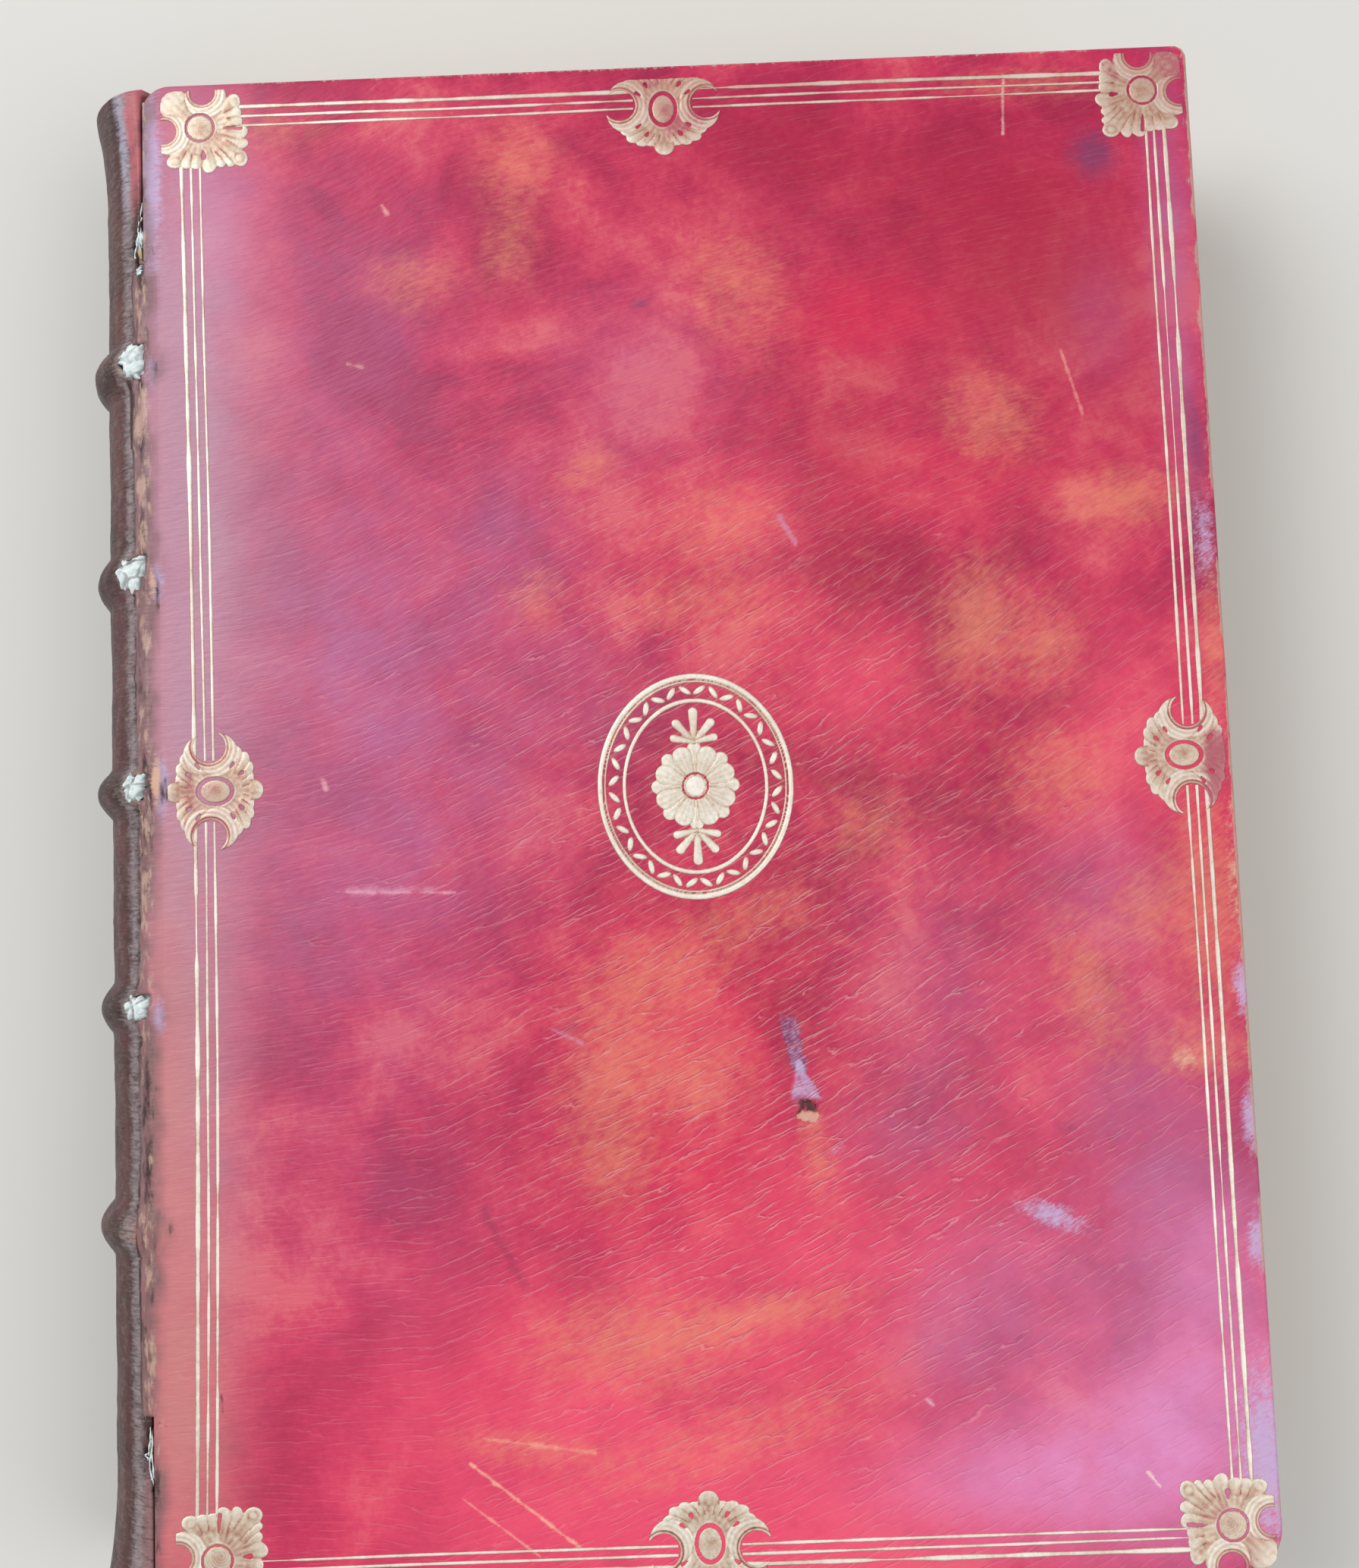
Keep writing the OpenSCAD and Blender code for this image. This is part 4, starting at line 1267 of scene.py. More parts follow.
    def edge_profiles(self) -> tuple[Array, Array]:
        """Profiles from the face round to the inside, as (inset, drop) pairs.

        Returns:
            The covered edge with its turn-in, and the cut edge at the joint, of equal length.
        """
        e, thick, skin = self.edge_r, self.sizes.cover_t, self.sizes.leather
        lip, lip_t = self.sizes.turn_in, self.sizes.turn_in_t
        turn = np.radians([0, 20, 40, 60, 80, 90])
        upper = np.stack([e * (1 - np.sin(turn)), e * (1 - np.cos(turn))], axis=1)
        lower = np.stack([e * (1 - np.sin(turn[::-1])), thick - e * (1 - np.cos(turn[::-1]))], axis=1)
        inner = np.array([[3.0, thick], [8.0, thick], [lip - 0.3, thick], [lip, thick - 0.12],
                          [lip, thick - lip_t], [skin, thick - lip_t], [skin, skin]])
        full = np.concatenate([upper, lower, inner])
        cut = np.array([[e, 0.0], [0.5, 0.01], [0.25, 0.04], [0.1, 0.1], [0.02, 0.25], [0.0, 0.45],
                        [0.0, 0.65], [0.02, 0.8], [0.1, skin]])
        rest = np.repeat([[skin, skin]], len(full) - len(cut), axis=0)
        return full, np.concatenate([cut, rest])

    def build(self, leather: Material, paper: Material, board: Material, hemp: Material,
              frame: dict) -> None:
        """Makes the skin and dresses the cover's inner nodes.

        Args:
            leather, paper, board, hemp: Materials of the pieces.
        """
        name = self.side.value
        skin = self.turned(self.skin()).make(f"{name}_cover_leather", leather, "cover_leather", merge=True)
        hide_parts(f"{name}_leather")
        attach(skin, self.body)
        dress(frame, f"{name}_board", board)
        dress(frame, f"{name}_pastedown", paper)
        for i in range(1, 6):
            dress(frame, f"{name}_cord_slip_{i}", hemp)


def dress(frame: dict, name: str, material: Material) -> None:
    """Gives a CAD node a material."""
    slots = frame["nodes"][name].data.materials
    slots.clear()
    slots.append(material)


# Gold tooling

Sample = tuple[Array, Array, Array]
Field = Callable[[Array, Array], Sample]


def round_cone(x: Array, y: Array, reach: float, r0: float, r1: float) -> Array:
    """Distance to a lobe along +X: circles of r0 at 0 and r1 at reach - r1, and their hull.

    Args:
        x, y: Points, with the lobe's root at 0.
        reach: Length to the tip.
        r0, r1: Radii at the root and at the tip.

    Returns:
        The distance, negative inside.
    """
    length = max(reach - r1, 1e-3)
    y = np.abs(y)
    b = (r0 - r1) / length
    a = math.sqrt(max(1 - b * b, 1e-6))
    k = -b * y + a * x
    side = x * b + y * a - r0
    low = np.hypot(x, y) - r0
    high = np.hypot(x - length, y) - r1
    return np.where(k < 0, low, np.where(k > a * length, high, side))


@dataclass(frozen=True)
class Lobe:
    """One petal or leaf lobe of an ornament, laid over the ones before it.

    It runs from its root to its reach along its angle. It is root_w wide at first and tip_w
    wide at its round end, and curves sideways by bend.
    """

    angle: float
    reach: float
    tip_w: float
    root_w: float
    bend: float = 0.0
    veins: int = 1
    root: float = 4.7
    curl: float = 0.0

    def scaled(self, r: float) -> "Lobe":
        """The same lobe at another size."""
        return Lobe(self.angle, self.reach * r, self.tip_w * r, self.root_w * r, self.bend * r,
                    self.veins, self.root * r, self.curl)

    def mirrored(self) -> "Lobe":
        """The same lobe on the other side of the 45 degree line."""
        return replace(self, angle=90 - self.angle, bend=-self.bend)

    def flipped(self, m: int, up: int) -> "Lobe":
        """The same lobe turned over left to right (m of -1) and top to bottom (up of -1)."""
        angle = self.angle if m > 0 else 180 - self.angle
        return replace(self, angle=up * angle, bend=self.bend * m * up)

    def parts(self, x: Array, y: Array) -> Sample:
        """Distance, share of the way to the tip, and vein lines, at each point.

        Args:
            x, y: Points in the ornament's own millimetres.

        Returns:
            The three, in that order.
        """
        c, s = math.cos(math.radians(self.angle)), math.sin(math.radians(self.angle))
        a, b = x * c + y * s - self.root, y * c - x * s
        length = self.reach - self.root
        share = np.clip(a / length, 0, 1)
        b = b - self.bend * share**2
        gap = round_cone(a, b, length, self.root_w / 2, self.tip_w / 2)
        wide = self.root_w + (self.tip_w - self.root_w) * share
        veins = 0.5 + 0.5 * np.cos(2 * np.pi * self.veins * b / wide + np.pi * (self.veins % 2))
        # A curled tip shows a dark ring half-way to its rim
        ring = np.hypot(a - length + self.tip_w / 2, b)
        return gap, share - 0.6 * self.curl * bell(ring, 0.26 * self.tip_w, 0.08 * self.tip_w), veins


@dataclass(frozen=True)
class Horn:
    """A crescent: a circle less a hollow one, engraved with lines that follow the hollow."""

    x: float
    y: float
    r: float
    hollow_x: float
    hollow_y: float
    hollow_r: float

    def scaled(self, r: float) -> "Horn":
        """The same horn at another size."""
        return Horn(*(length * r for length in astuple(self)))

    def parts(self, x: Array, y: Array) -> tuple[Array, Array]:
        """Distance to the crescent, and distance out from the hollow."""
        hollow = np.hypot(x - self.hollow_x, y - self.hollow_y) - self.hollow_r
        return np.maximum(np.hypot(x - self.x, y - self.y) - self.r, -hollow), hollow


@dataclass
class Ornament:
    """A tooled ornament: lobes, horns and a boss, worked out as distances on a grid."""

    lobes: Sequence[Lobe]
    horns: Sequence[Horn]
    holes: Sequence[Lobe]
    core: tuple[float, float]
    boss: tuple[float, float]
    ring: float
    cut_x: float = 99.0
    cut_y: float = 99.0
    cut_round: float = 2.6
    dome: float = 0.2

    def scaled(self, r: float) -> "Ornament":
        """The same tool at another size, with its engraved lines as wide as before."""
        shapes = ([part.scaled(r) for part in group] for group in (self.lobes, self.horns, self.holes))
        core, boss = ((x * r, y * r) for x, y in (self.core, self.boss))
        return Ornament(*shapes, core, boss, self.ring, self.cut_x * r, self.cut_y * r)

    def field(self, x: Array, y: Array) -> Sample:
        """Distance to the outline, height and shade at each point.

        Each shape is laid over the ones before it. Its height is a dome that rises from its
        own edge, and its shade is pale at its tip and dark along its sides and in its veins.

        Args:
            x, y: Points in the ornament's own millimetres.

        Returns:
            The three, in that order.
        """
        oval = np.hypot(x / self.core[0], y / self.core[1])
        total = (oval - 1) * min(self.core)
        height = np.full(x.shape, 0.45 * self.dome)
        streaks = 0.09 * np.cos(26 * np.arctan2(y, x)) * ease(oval, 0.5, 0.8)
        shade = 0.5 + 0.12 * noise(x, y, 1.6, 3, 3) + streaks
        for lobe in self.lobes:
            gap, share, veins = lobe.parts(x, y)
            inside = gap < 0
            rise = np.sqrt(np.clip(-gap / (0.5 * lobe.tip_w), 0, 1))
            tone = 0.4 + 0.46 * share - 0.36 * bell(gap, 0, 0.16) * (1 - share**2)
            tone = tone - 0.2 * veins * (1 - share) ** 0.7
            blend = ease(share, 0.0, 0.25)
            height = np.where(inside, height * (1 - blend) + blend * self.dome * (0.3 + 0.8 * rise), height)
            shade = np.where(inside, shade * (1 - blend) + blend * tone, shade)
            total = np.minimum(total, gap)
        for horn in self.horns:
            gap, hollow = horn.parts(x, y)
            inside = gap < 0
            lines = np.cos(2 * np.pi * hollow / 0.85)
            tone = 0.66 + 0.12 * lines + 0.12 * ease(hollow, 0.4, 2.5) - 0.35 * bell(gap, 0, 0.18)
            inner = 0.55 * math.hypot(horn.x, horn.y)
            tip = ease(np.hypot(x, y), inner + 3.0, inner + 5.5)
            height = np.where(inside, self.dome * (0.55 + 0.12 * lines + 0.3 * ease(-gap, 0, 0.7)), height)
            shade = np.where(inside, np.maximum(tone, 0.75 * tip), shade)
            total = np.minimum(total, gap)
        for horn in self.horns:
            hollow = horn.parts(x, y)[1]
            total = np.maximum(total, -hollow)
            shade = np.where(hollow < 1.2, shade - 0.35 * bell(hollow, 0.5, 0.14), shade)
        for hole in self.holes:
            total = np.maximum(total, -hole.parts(x, y)[0])
        past_x, past_y = self.cut_round - self.cut_x - x, self.cut_round - self.cut_y - y
        rounded = np.hypot(np.maximum(past_x, 0), np.maximum(past_y, 0)) - self.cut_round
        total = np.maximum(total, rounded + np.minimum(np.maximum(past_x, past_y), 0))
        scale = min(self.boss)
        oval = np.hypot(x / self.boss[0], y / self.boss[1])
        radial = (oval - 1) * scale
        groove = np.abs(radial - self.ring / 2) - self.ring / 2
        hatching = np.cos(2 * np.pi * np.hypot(x - 0.35 * scale, y - 0.3 * scale) / (0.2 * scale))
        dome = self.dome * (0.5 + 0.7 * np.sqrt(np.clip(-radial / scale, 0, 1)))
        height = np.where(radial < 0, dome, height)
        dished = 0.62 - 0.22 * bell(np.hypot(x - 0.15 * scale, y - 0.1 * scale), 0, 0.55 * scale)
        shade = np.where(radial < 0, dished + 0.07 * hatching, shade)
        rim = bell(radial, self.ring + 0.14, 0.16) * (radial > 0)
        return np.maximum(total, -groove), height + 0.25 * self.dome * rim, shade + 0.14 * rim


def sheet(field_of: Field, half_u: float, half_v: float, step: float) -> tuple[Array, Array, Surface]:
    """Cuts a sheet out of a square grid along the zero line of a distance field.

    Cells with a point inside are kept, and their points outside are moved back along the
    field's slope onto the line, which gives a smooth outline. A skirt closes it downwards.

    Args:
        field_of: Returns distance, height and shade at points.
        half_u, half_v: Half the grid's size.
        step: Spacing of the grid.

    Returns:
        The local x and y of each point, and the surface with its height in the third place.
    """
    xs = np.arange(-half_u, half_u + step, step)
    ys = np.arange(-half_v, half_v + step, step)
    x, y = np.meshgrid(xs, ys, indexing="ij")
    gap = field_of(x, y)[0]
    slope_x, slope_y = np.gradient(gap, step)
    quads = grid_quads(*x.shape)
    flat = gap.ravel()
    kept = quads[(flat[quads] < 0).any(axis=1)]
    norm = np.maximum(np.hypot(slope_x, slope_y), 0.5)
    push = np.where(gap > 0, np.minimum(gap, 1.5 * step), 0.0)
    x, y = x - push * slope_x / norm, y - push * slope_y / norm
    used, faces = np.unique(kept, return_inverse=True)
    faces = faces.reshape(-1, 4)
    x, y = x.ravel()[used], y.ravel()[used]
    _, height, shade = field_of(x, y)
    outside = flat[used] >= 0
    height = np.where(outside, 0.0, height)
    shade = np.where(outside, np.minimum(shade, 0.35), shade)
    edges = np.concatenate([faces[:, [0, 1]], faces[:, [1, 2]], faces[:, [2, 3]], faces[:, [3, 0]]])
    key = np.sort(edges, axis=1)
    _, first, counts = np.unique(key, axis=0, return_index=True, return_counts=True)
    rim = edges[first[counts == 1]]
    rim_points, local = np.unique(rim, return_inverse=True)
    low = local.reshape(-1, 2) + len(x)
    skirt = np.stack([rim[:, 1], rim[:, 0], low[:, 0], low[:, 1]], axis=1)
    x, y = np.append(x, x[rim_points]), np.append(y, y[rim_points])
    height = np.append(height, height[rim_points] - 0.12)
    shade = np.append(shade, shade[rim_points] - 0.2)
    surface = Surface(np.stack([x, y, height], axis=1), np.concatenate([faces, skirt]),
                      {"shade": np.clip(shade, 0, 1)})
    return x, y, surface


def corner_ornament(reach: float) -> Ornament:
    """Leafy corner ornament; +X and +Y run into the board along the lines.

    Args:
        reach: Length of the leaf on the diagonal; the others keep their share of it.

    Returns:
        The ornament, in millimetres.
    """
    tail = Lobe(-135, 10.2, 6.0, 4.4, veins=4, root=1.0)
    side = (Lobe(-34, 9.4, 3.1, 2.6, -0.7, 2, curl=0.5), Lobe(-19, 8.4, 2.4, 2.2, -0.4),
            Lobe(-6, 8.1, 2.2, 2.2, -0.2))
    # The leaf on the diagonal curls over to one side, so each corner shows the same tool, turned
    leaf = (Lobe(59, 8.8, 1.9, 2.2, 0.4), Lobe(49, 9.7, 1.7, 2.2, 0.5), Lobe(25, 9.6, 2.1, 2.2, -0.5),
            Lobe(75, 8.9, 2.9, 1.4, 0.6, 2, 4.0), Lobe(10, 9.0, 2.8, 1.4, -0.5, 2, 4.0),
            Lobe(38, 11.1, 3.1, 2.0, 0.5, 2, curl=1.0))
    lobes = (tail, *(part for one in side for part in (one, one.mirrored())), *leaf)
    horns = (Horn(1.2, -5.7, 3.9, 0.55, -6.8, 2.35), Horn(-5.7, 1.2, 3.9, -6.8, 0.55, 2.35))
    notches = (Lobe(84, 6.2, 0.9, 0.3, root=4.5), Lobe(2.5, 8.0, 0.7, 0.3, root=4.6))
    return Ornament(lobes, horns, notches, (5.3, 5.3), (2.4, 2.4), 0.42, 7.3, 7.3).scaled(reach / 10.9)


def edge_ornament(reach: float, cut: float) -> Ornament:
    """Shell-shaped edge ornament with two horns; +Y runs into the board.

    Args:
        reach: Length of the middle lobe; the others keep their share of it.
        cut: How far the ornament goes towards the board's edge, as a share of the reach.

    Returns:
        The ornament, in millimetres.
    """
    fan = (Lobe(72, 7.7, 2.3, 2.0, -0.5, 1, 4.6), Lobe(60, 8.5, 2.3, 2.2, -0.7, 2, 4.6),
           Lobe(47, 9.1, 2.2, 2.2, -0.8, 1, 4.6), Lobe(35, 9.1, 2.2, 2.2, -0.9, 2, 4.6))
    cap = Lobe(90, 9.0, 3.9, 3.4, 0.0, 3, 6.2)
    lobes: list[Lobe] = []
    for up in (-1, 1):
        lobes += [lobe.flipped(m, up) for lobe in fan for m in (1, -1)]
        lobes.append(cap.flipped(1, up))
    horns = [Horn(m * 6.7, y, size, m * 8.15, -1.0, 2.95)
             for y, size in ((-2.1, 3.7), (0.45, 3.95)) for m in (1, -1)]
    openings = (Lobe(57, 6.3, 0.75, 0.3, root=5.2), Lobe(34, 6.3, 0.6, 0.3, root=5.0))
    holes = [one.flipped(m, up) for one in openings for m in (1, -1) for up in (1, -1)]
    tool = Ornament(lobes, horns, holes, (5.2, 6.3), (2.05, 2.7), 0.6, cut_y=9.0 * cut)
    return tool.scaled(reach / 9.0)


@dataclass(frozen=True)
class Medallion:
    """Generic oval: beaded border between two rings, a rosette and two leaf sprays."""

    rx: float
    ry: float
    line: float = 0.9
    border: float = 3.6
    beads: int = 36

    def field(self, x: Array, y: Array) -> Sample:
        """Distance, height and shade, as for an ornament.

        Args:
            x, y: Points from the oval's middle, in millimetres.

        Returns:
            The three, in that order.
        """
        total = np.full(x.shape, 9.0)
        height = np.zeros(x.shape)
        shade = np.full(x.shape, 0.7)

        def lay(gap: Array, half: float, tone: Array | float) -> None:
            """Lays one shape over the others.

            Args:
                gap: Distance to its outline.
                half: Depth at which its dome is full.
                tone: What its shade gains.
            """
            nonlocal total, height, shade
            inside = gap < 0
            height = np.where(inside, 0.12 * np.sqrt(np.clip(-gap / half, 0, 1)), height)
            shade = np.where(inside, 0.3 + 0.4 * ease(-gap, 0, 0.25) + tone, shade)
            total = np.minimum(total, gap)

        inner_x, inner_y = self.rx - self.line - self.border, self.ry - self.line - self.border
        for ax, ay, width in ((self.rx, self.ry, self.line), (inner_x, inner_y, 0.75 * self.line),
                              (self.rx - 1.35 * self.line, self.ry - 1.35 * self.line, 0.3)):
            radial = (np.hypot(x / (ax - width / 2), y / (ay - width / 2)) - 1) * min(ax, ay)
            lay(np.abs(radial) - width / 2, width / 2, 0.2)
        mid_x, mid_y = (self.rx - 1.5 * self.line + inner_x) / 2, (self.ry - 1.5 * self.line + inner_y) / 2
        for i in range(self.beads):
            turn = 2 * math.pi * (i + 0.5) / self.beads
            px, py = mid_x * math.cos(turn), mid_y * math.sin(turn)
            lean = math.atan2(mid_y * math.cos(turn), -mid_x * math.sin(turn)) + 0.7 * (-1) ** i
            c, s = math.cos(lean), math.sin(lean)
            a, b = (x - px) * c + (y - py) * s, (y - py) * c - (x - px) * s
            lay((np.hypot(a / 1.25, b / 0.52) - 1) * 0.52, 0.5, 0.2)
        petal = 0.62 * (inner_x - self.line)
        spray = inner_y - self.line - petal
        for start, long, wide, veins in ((0.0, 1.05, 0.34, 2), (22.5, 1.0, 0.48, 3)):
            for i in range(8):
                leaf = Lobe(start + i * 45, long, wide, 0.1, 0, veins, 0.12).scaled(petal)
                gap, share, ribs = leaf.parts(x, y)
                lay(gap, wide / 2 * petal, 0.2 * share - 0.12 * ribs)
        hub = np.hypot(x, y)
        total = np.maximum(total, -(np.abs(hub - 0.3 * petal) - 0.2))
        lay(hub - 0.24 * petal, 0.24 * petal, 0.2)
        for up in (1, -1):
            yy = up * y - petal - 0.05 * spray
            for angle, share, width in ((90, 0.86, 0.24), (48, 0.74, 0.22), (132, 0.74, 0.22),
                                        (12, 0.6, 0.2), (168, 0.6, 0.2)):
                leaf = Lobe(angle, share, width, 0.5 * width, root=0.0).scaled(spray)
                gap, part, ribs = leaf.parts(x, yy)
                lay(gap, 0.1 * spray, 0.2 * part - 0.1 * ribs)
        return total, height, shade


@dataclass
class Tooling:
    """Gold lines, ornaments and medallion of one cover."""

    cover: Cover
    inset: float = 4.5
    joint_inset: float = 7.0
    widths: tuple[float, float, float] = (0.8, 0.5, 0.5)
    steps: tuple[float, float, float] = (0.0, 2.0, 3.6)
    bow: float = 1.4
    lift: float = 0.03
    corner_reach: float = 10.9
    edge_reach: float = 8.9
    medal: tuple[float, float] = (17.6, 20.3)
    medal_v: float = 2.4
    side_v: float = 4.7
    end_shift: tuple[float, float] = (-1.3, -2.4)
    step: float = 0.17

    def __post_init__(self) -> None:
        """Works out the ruled frame."""
        sizes = self.cover.sizes
        self.front = self.cover.front
        self.u0, self.u1 = self.joint_inset, sizes.cover_w - self.inset
        self.half_h = sizes.cover_h / 2 - self.inset
        self.triple = self.steps[2] + self.widths[2]
        self.mid_u = (self.u0 + self.u1) / 2
        self.fine = self.step if self.front else 1.6 * self.step

    def bowed(self, u: Array, v: Array) -> Array:
        """The joint side's lines bow towards the fore-edge, as the tooler ruled them."""
        near = 1 - ease(u, self.u0 + 6, self.u0 + 34)
        along = np.clip(1 - (v / self.half_h) ** 2, 0, 1)
        return u + self.bow * near * along * (1 - 0.25 * v / self.half_h)

    def wear(self, u: Array, v: Array) -> Array:
        """How far the gold is rubbed away: more at the edges, and at one fore-edge ornament.

        Args:
            u, v: Place on the cover.

        Returns:
            0 where the gold is whole to 1 where it is gone.
        """
        wide, half = self.cover.wide, self.cover.half
        edge = np.minimum(wide - u, half - np.abs(v))
        worn = 0.25 + 0.3 * noise(u, v, 9, 71, 2) + 0.6 * np.exp(-np.maximum(edge, 0) / 1.2)
        if self.front:
            for patch in patches("worn", (wide - 1, 1, 4, 9, 0.9), (wide - 2, 134, 6, 5, 0.5)):
                worn = worn + patch.on(u, v)
            worn = worn + 0.8 * bell(np.hypot(u - 1, half - np.abs(v)), 0, 5.5)
        return np.clip(worn, 0, 1.2)

    def dull(self, u: Array, v: Array) -> Array:
        """How far the gold has browned: most at the head's middle, least at the joint.

        Args:
            u, v: Place on the cover.

        Returns:
            0 where it is bright to 1 where it is brown.
        """
        if not self.front:
            return 0.2 + 0.1 * noise(u, v, 30, 83, 2)
        half = self.cover.half
        browned = patches("dull", (97, half, 34, 20, 0.4), (150, half, 40, 12, 0.35),
                          (190, 60, 14, 90, 0.2), (192, half, 16, 20, 0.2), (10, 5, 12, 14, 0.2))
        return np.clip(0.06 + sum(p.on(u, v) for p in browned) + 0.08 * noise(u, v, 6, 85, 2), 0, 0.8)

    def laid(self, surface: Surface, u: Array, v: Array) -> Surface:
        """Puts a sheet's points on the cover at u and v.

        Args:
            surface: The sheet.
            u, v: Place on the cover.

        Returns:
            The sheet on the cover.
        """
        bowed = self.bowed(u, v)
        w = self.cover.relief(bowed, v) + self.lift + surface.points[:, 2]
        # Nothing on the back stands out of the face that the book rests on
        w = w if self.front else np.minimum(w, -0.05)
        values = dict(surface.values, worn=self.wear(bowed, v), dull=self.dull(bowed, v))
        return self.cover.turned(Surface(self.cover.place(bowed, v, w), surface.faces, values))

    def ornaments(self, make: Ornament | Medallion, spots: Sequence[tuple], half: tuple) -> Surface:
        """Lays one sheet at several spots.

        Args:
            make: What is tooled there.
            spots: Places, each (u, v, x axis, y axis).
            half: Half the sheet's size.

        Returns:
            All of them as one surface.
        """
        x, y, flat = sheet(make.field, *half, self.fine)
        over = flat.flipped()
        return merged(self.laid(over if ax[0] * ay[1] < ax[1] * ay[0] else flat,
                                u + ax[0] * x + ay[0] * y, v + ax[1] * x + ay[1] * y)
                      for u, v, ax, ay in spots)

    def line_stretches(self) -> list[tuple]:
        """Each ruled stretch between two ornaments, as (start, end, inward, width).

        Returns:
            The stretches, in millimetres on the cover.
        """
        gap, reach = 0.62 * self.corner_reach, 0.62 * self.edge_reach
        stretches = []
        for inset, width in zip(self.steps, self.widths):
            at = inset + width / 2
            for sign in (-1, 1):
                v = sign * (self.half_h - at)
                middle = self.mid_u + self.end_shift[0 if sign > 0 else 1]
                for start, end in ((self.u0 + self.triple + gap, middle - reach),
                                   (middle + reach, self.u1 - self.triple - gap)):
                    stretches.append(((start, v), (end, v), (0, -sign), width))
            for u, sign in ((self.u0 + at, 1), (self.u1 - at, -1)):
                top = self.half_h - self.triple - gap
                for low, high in ((-top, self.side_v - reach), (self.side_v + reach, top)):
                    stretches.append(((u, low), (u, high), (sign, 0), width))
        return stretches

    def lines(self) -> Surface:
        """The ruled lines: a low rounded profile carried along each stretch.

        Returns:
            All the lines as one surface.
        """
        across = np.array([-0.5, -0.5, -0.25, 0.25, 0.5, 0.5])
        up = np.array([-0.12, 0.0, 0.05, 0.05, 0.0, -0.12])
        lit = np.array([0.1, 0.4, 0.85, 0.85, 0.4, 0.1])
        found = []
        for seed, (start, end, inward, width) in enumerate(self.line_stretches()):
            start, end = np.array(start), np.array(end)
            length = np.linalg.norm(end - start)
            t = np.linspace(0, 1, round(length / 0.9))
            s = t * length
            path = start + (end - start) * t[:, None]
            rough = noise(s, seed, 5.0, 40 + seed, 3)
            thin = ease(np.abs(noise(s, 0, 26.0, 90 + seed)), 0.82, 0.95)
            wide = width * np.clip(1.0 + 0.22 * rough - 0.9 * thin, 0.4, 1.4)
            drift = 0.1 * noise(s, 0, 40.0, 140 + seed)
            cross = across * wide[:, None] + drift[:, None]
            u, v = path[:, 0, None] + inward[0] * cross, path[:, 1, None] + inward[1] * cross
            points = np.stack([u, v, np.broadcast_to(up, u.shape)], axis=-1)
            flat = Surface.on_grid(points, {"shade": np.clip(lit + 0.15 * rough[:, None], 0, 1)})
            along = end - start
            if along[0] * inward[1] < along[1] * inward[0]:
                flat = flat.flipped()
            found.append(self.laid(flat, u.ravel(), v.ravel()))
        return merged(found)

    def build(self, gold: Material) -> None:
        """Makes the four gold pieces of the cover.

        Args:
            gold: Material of the gold.
        """
        cu = (self.u0 + self.triple, self.u1 - self.triple)
        cv = self.half_h - self.triple
        corners = [(cu[0], cv, (1, 0), (0, -1)), (cu[1], cv, (0, -1), (-1, 0)),
                   (cu[1], -cv, (-1, 0), (0, 1)), (cu[0], -cv, (0, 1), (1, 0))]
        corner = corner_ornament(self.corner_reach)
        reach = self.corner_reach + 0.6
        self.finish(self.ornaments(corner, corners, (reach, reach)), "corner_ornaments", gold)
        ends = [(self.mid_u + off, sv * cv, (1, 0), (0, -sv)) for off, sv in zip(self.end_shift, (1, -1))]
        half = (1.25 * self.edge_reach, 1.06 * self.edge_reach)
        whole = self.ornaments(edge_ornament(self.edge_reach, 0.66), ends, half)
        for u, inward, cut in zip(cu, (1, -1), (0.96, 0.83)):
            side = edge_ornament(self.edge_reach, cut)
            whole = whole.joined(self.ornaments(side, [(u, self.side_v, (0, 1), (inward, 0))], half))
        self.finish(whole, "edge_ornaments", gold)
        spot = (self.mid_u, self.medal_v, (1, 0), (0, 1))
        size = (self.medal[0] + 0.5, self.medal[1] + 0.5)
        self.finish(self.ornaments(Medallion(*self.medal), [spot], size), "medallion", gold)
        self.finish(self.lines(), "fillets", gold)

    def finish(self, surface: Surface, part: str, gold: Material) -> None:
        """Makes one piece in place of its CAD node.

        Args:
            surface: Its skin.
            part: The end of its name.
            gold: Its material.
        """
        name = self.cover.side.value
        obj = surface.make(f"{name}_tooled_{part}", gold, "gilding")
        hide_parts(f"{name}_gilt_{part}")
        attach(obj, self.cover.body)


# Spine


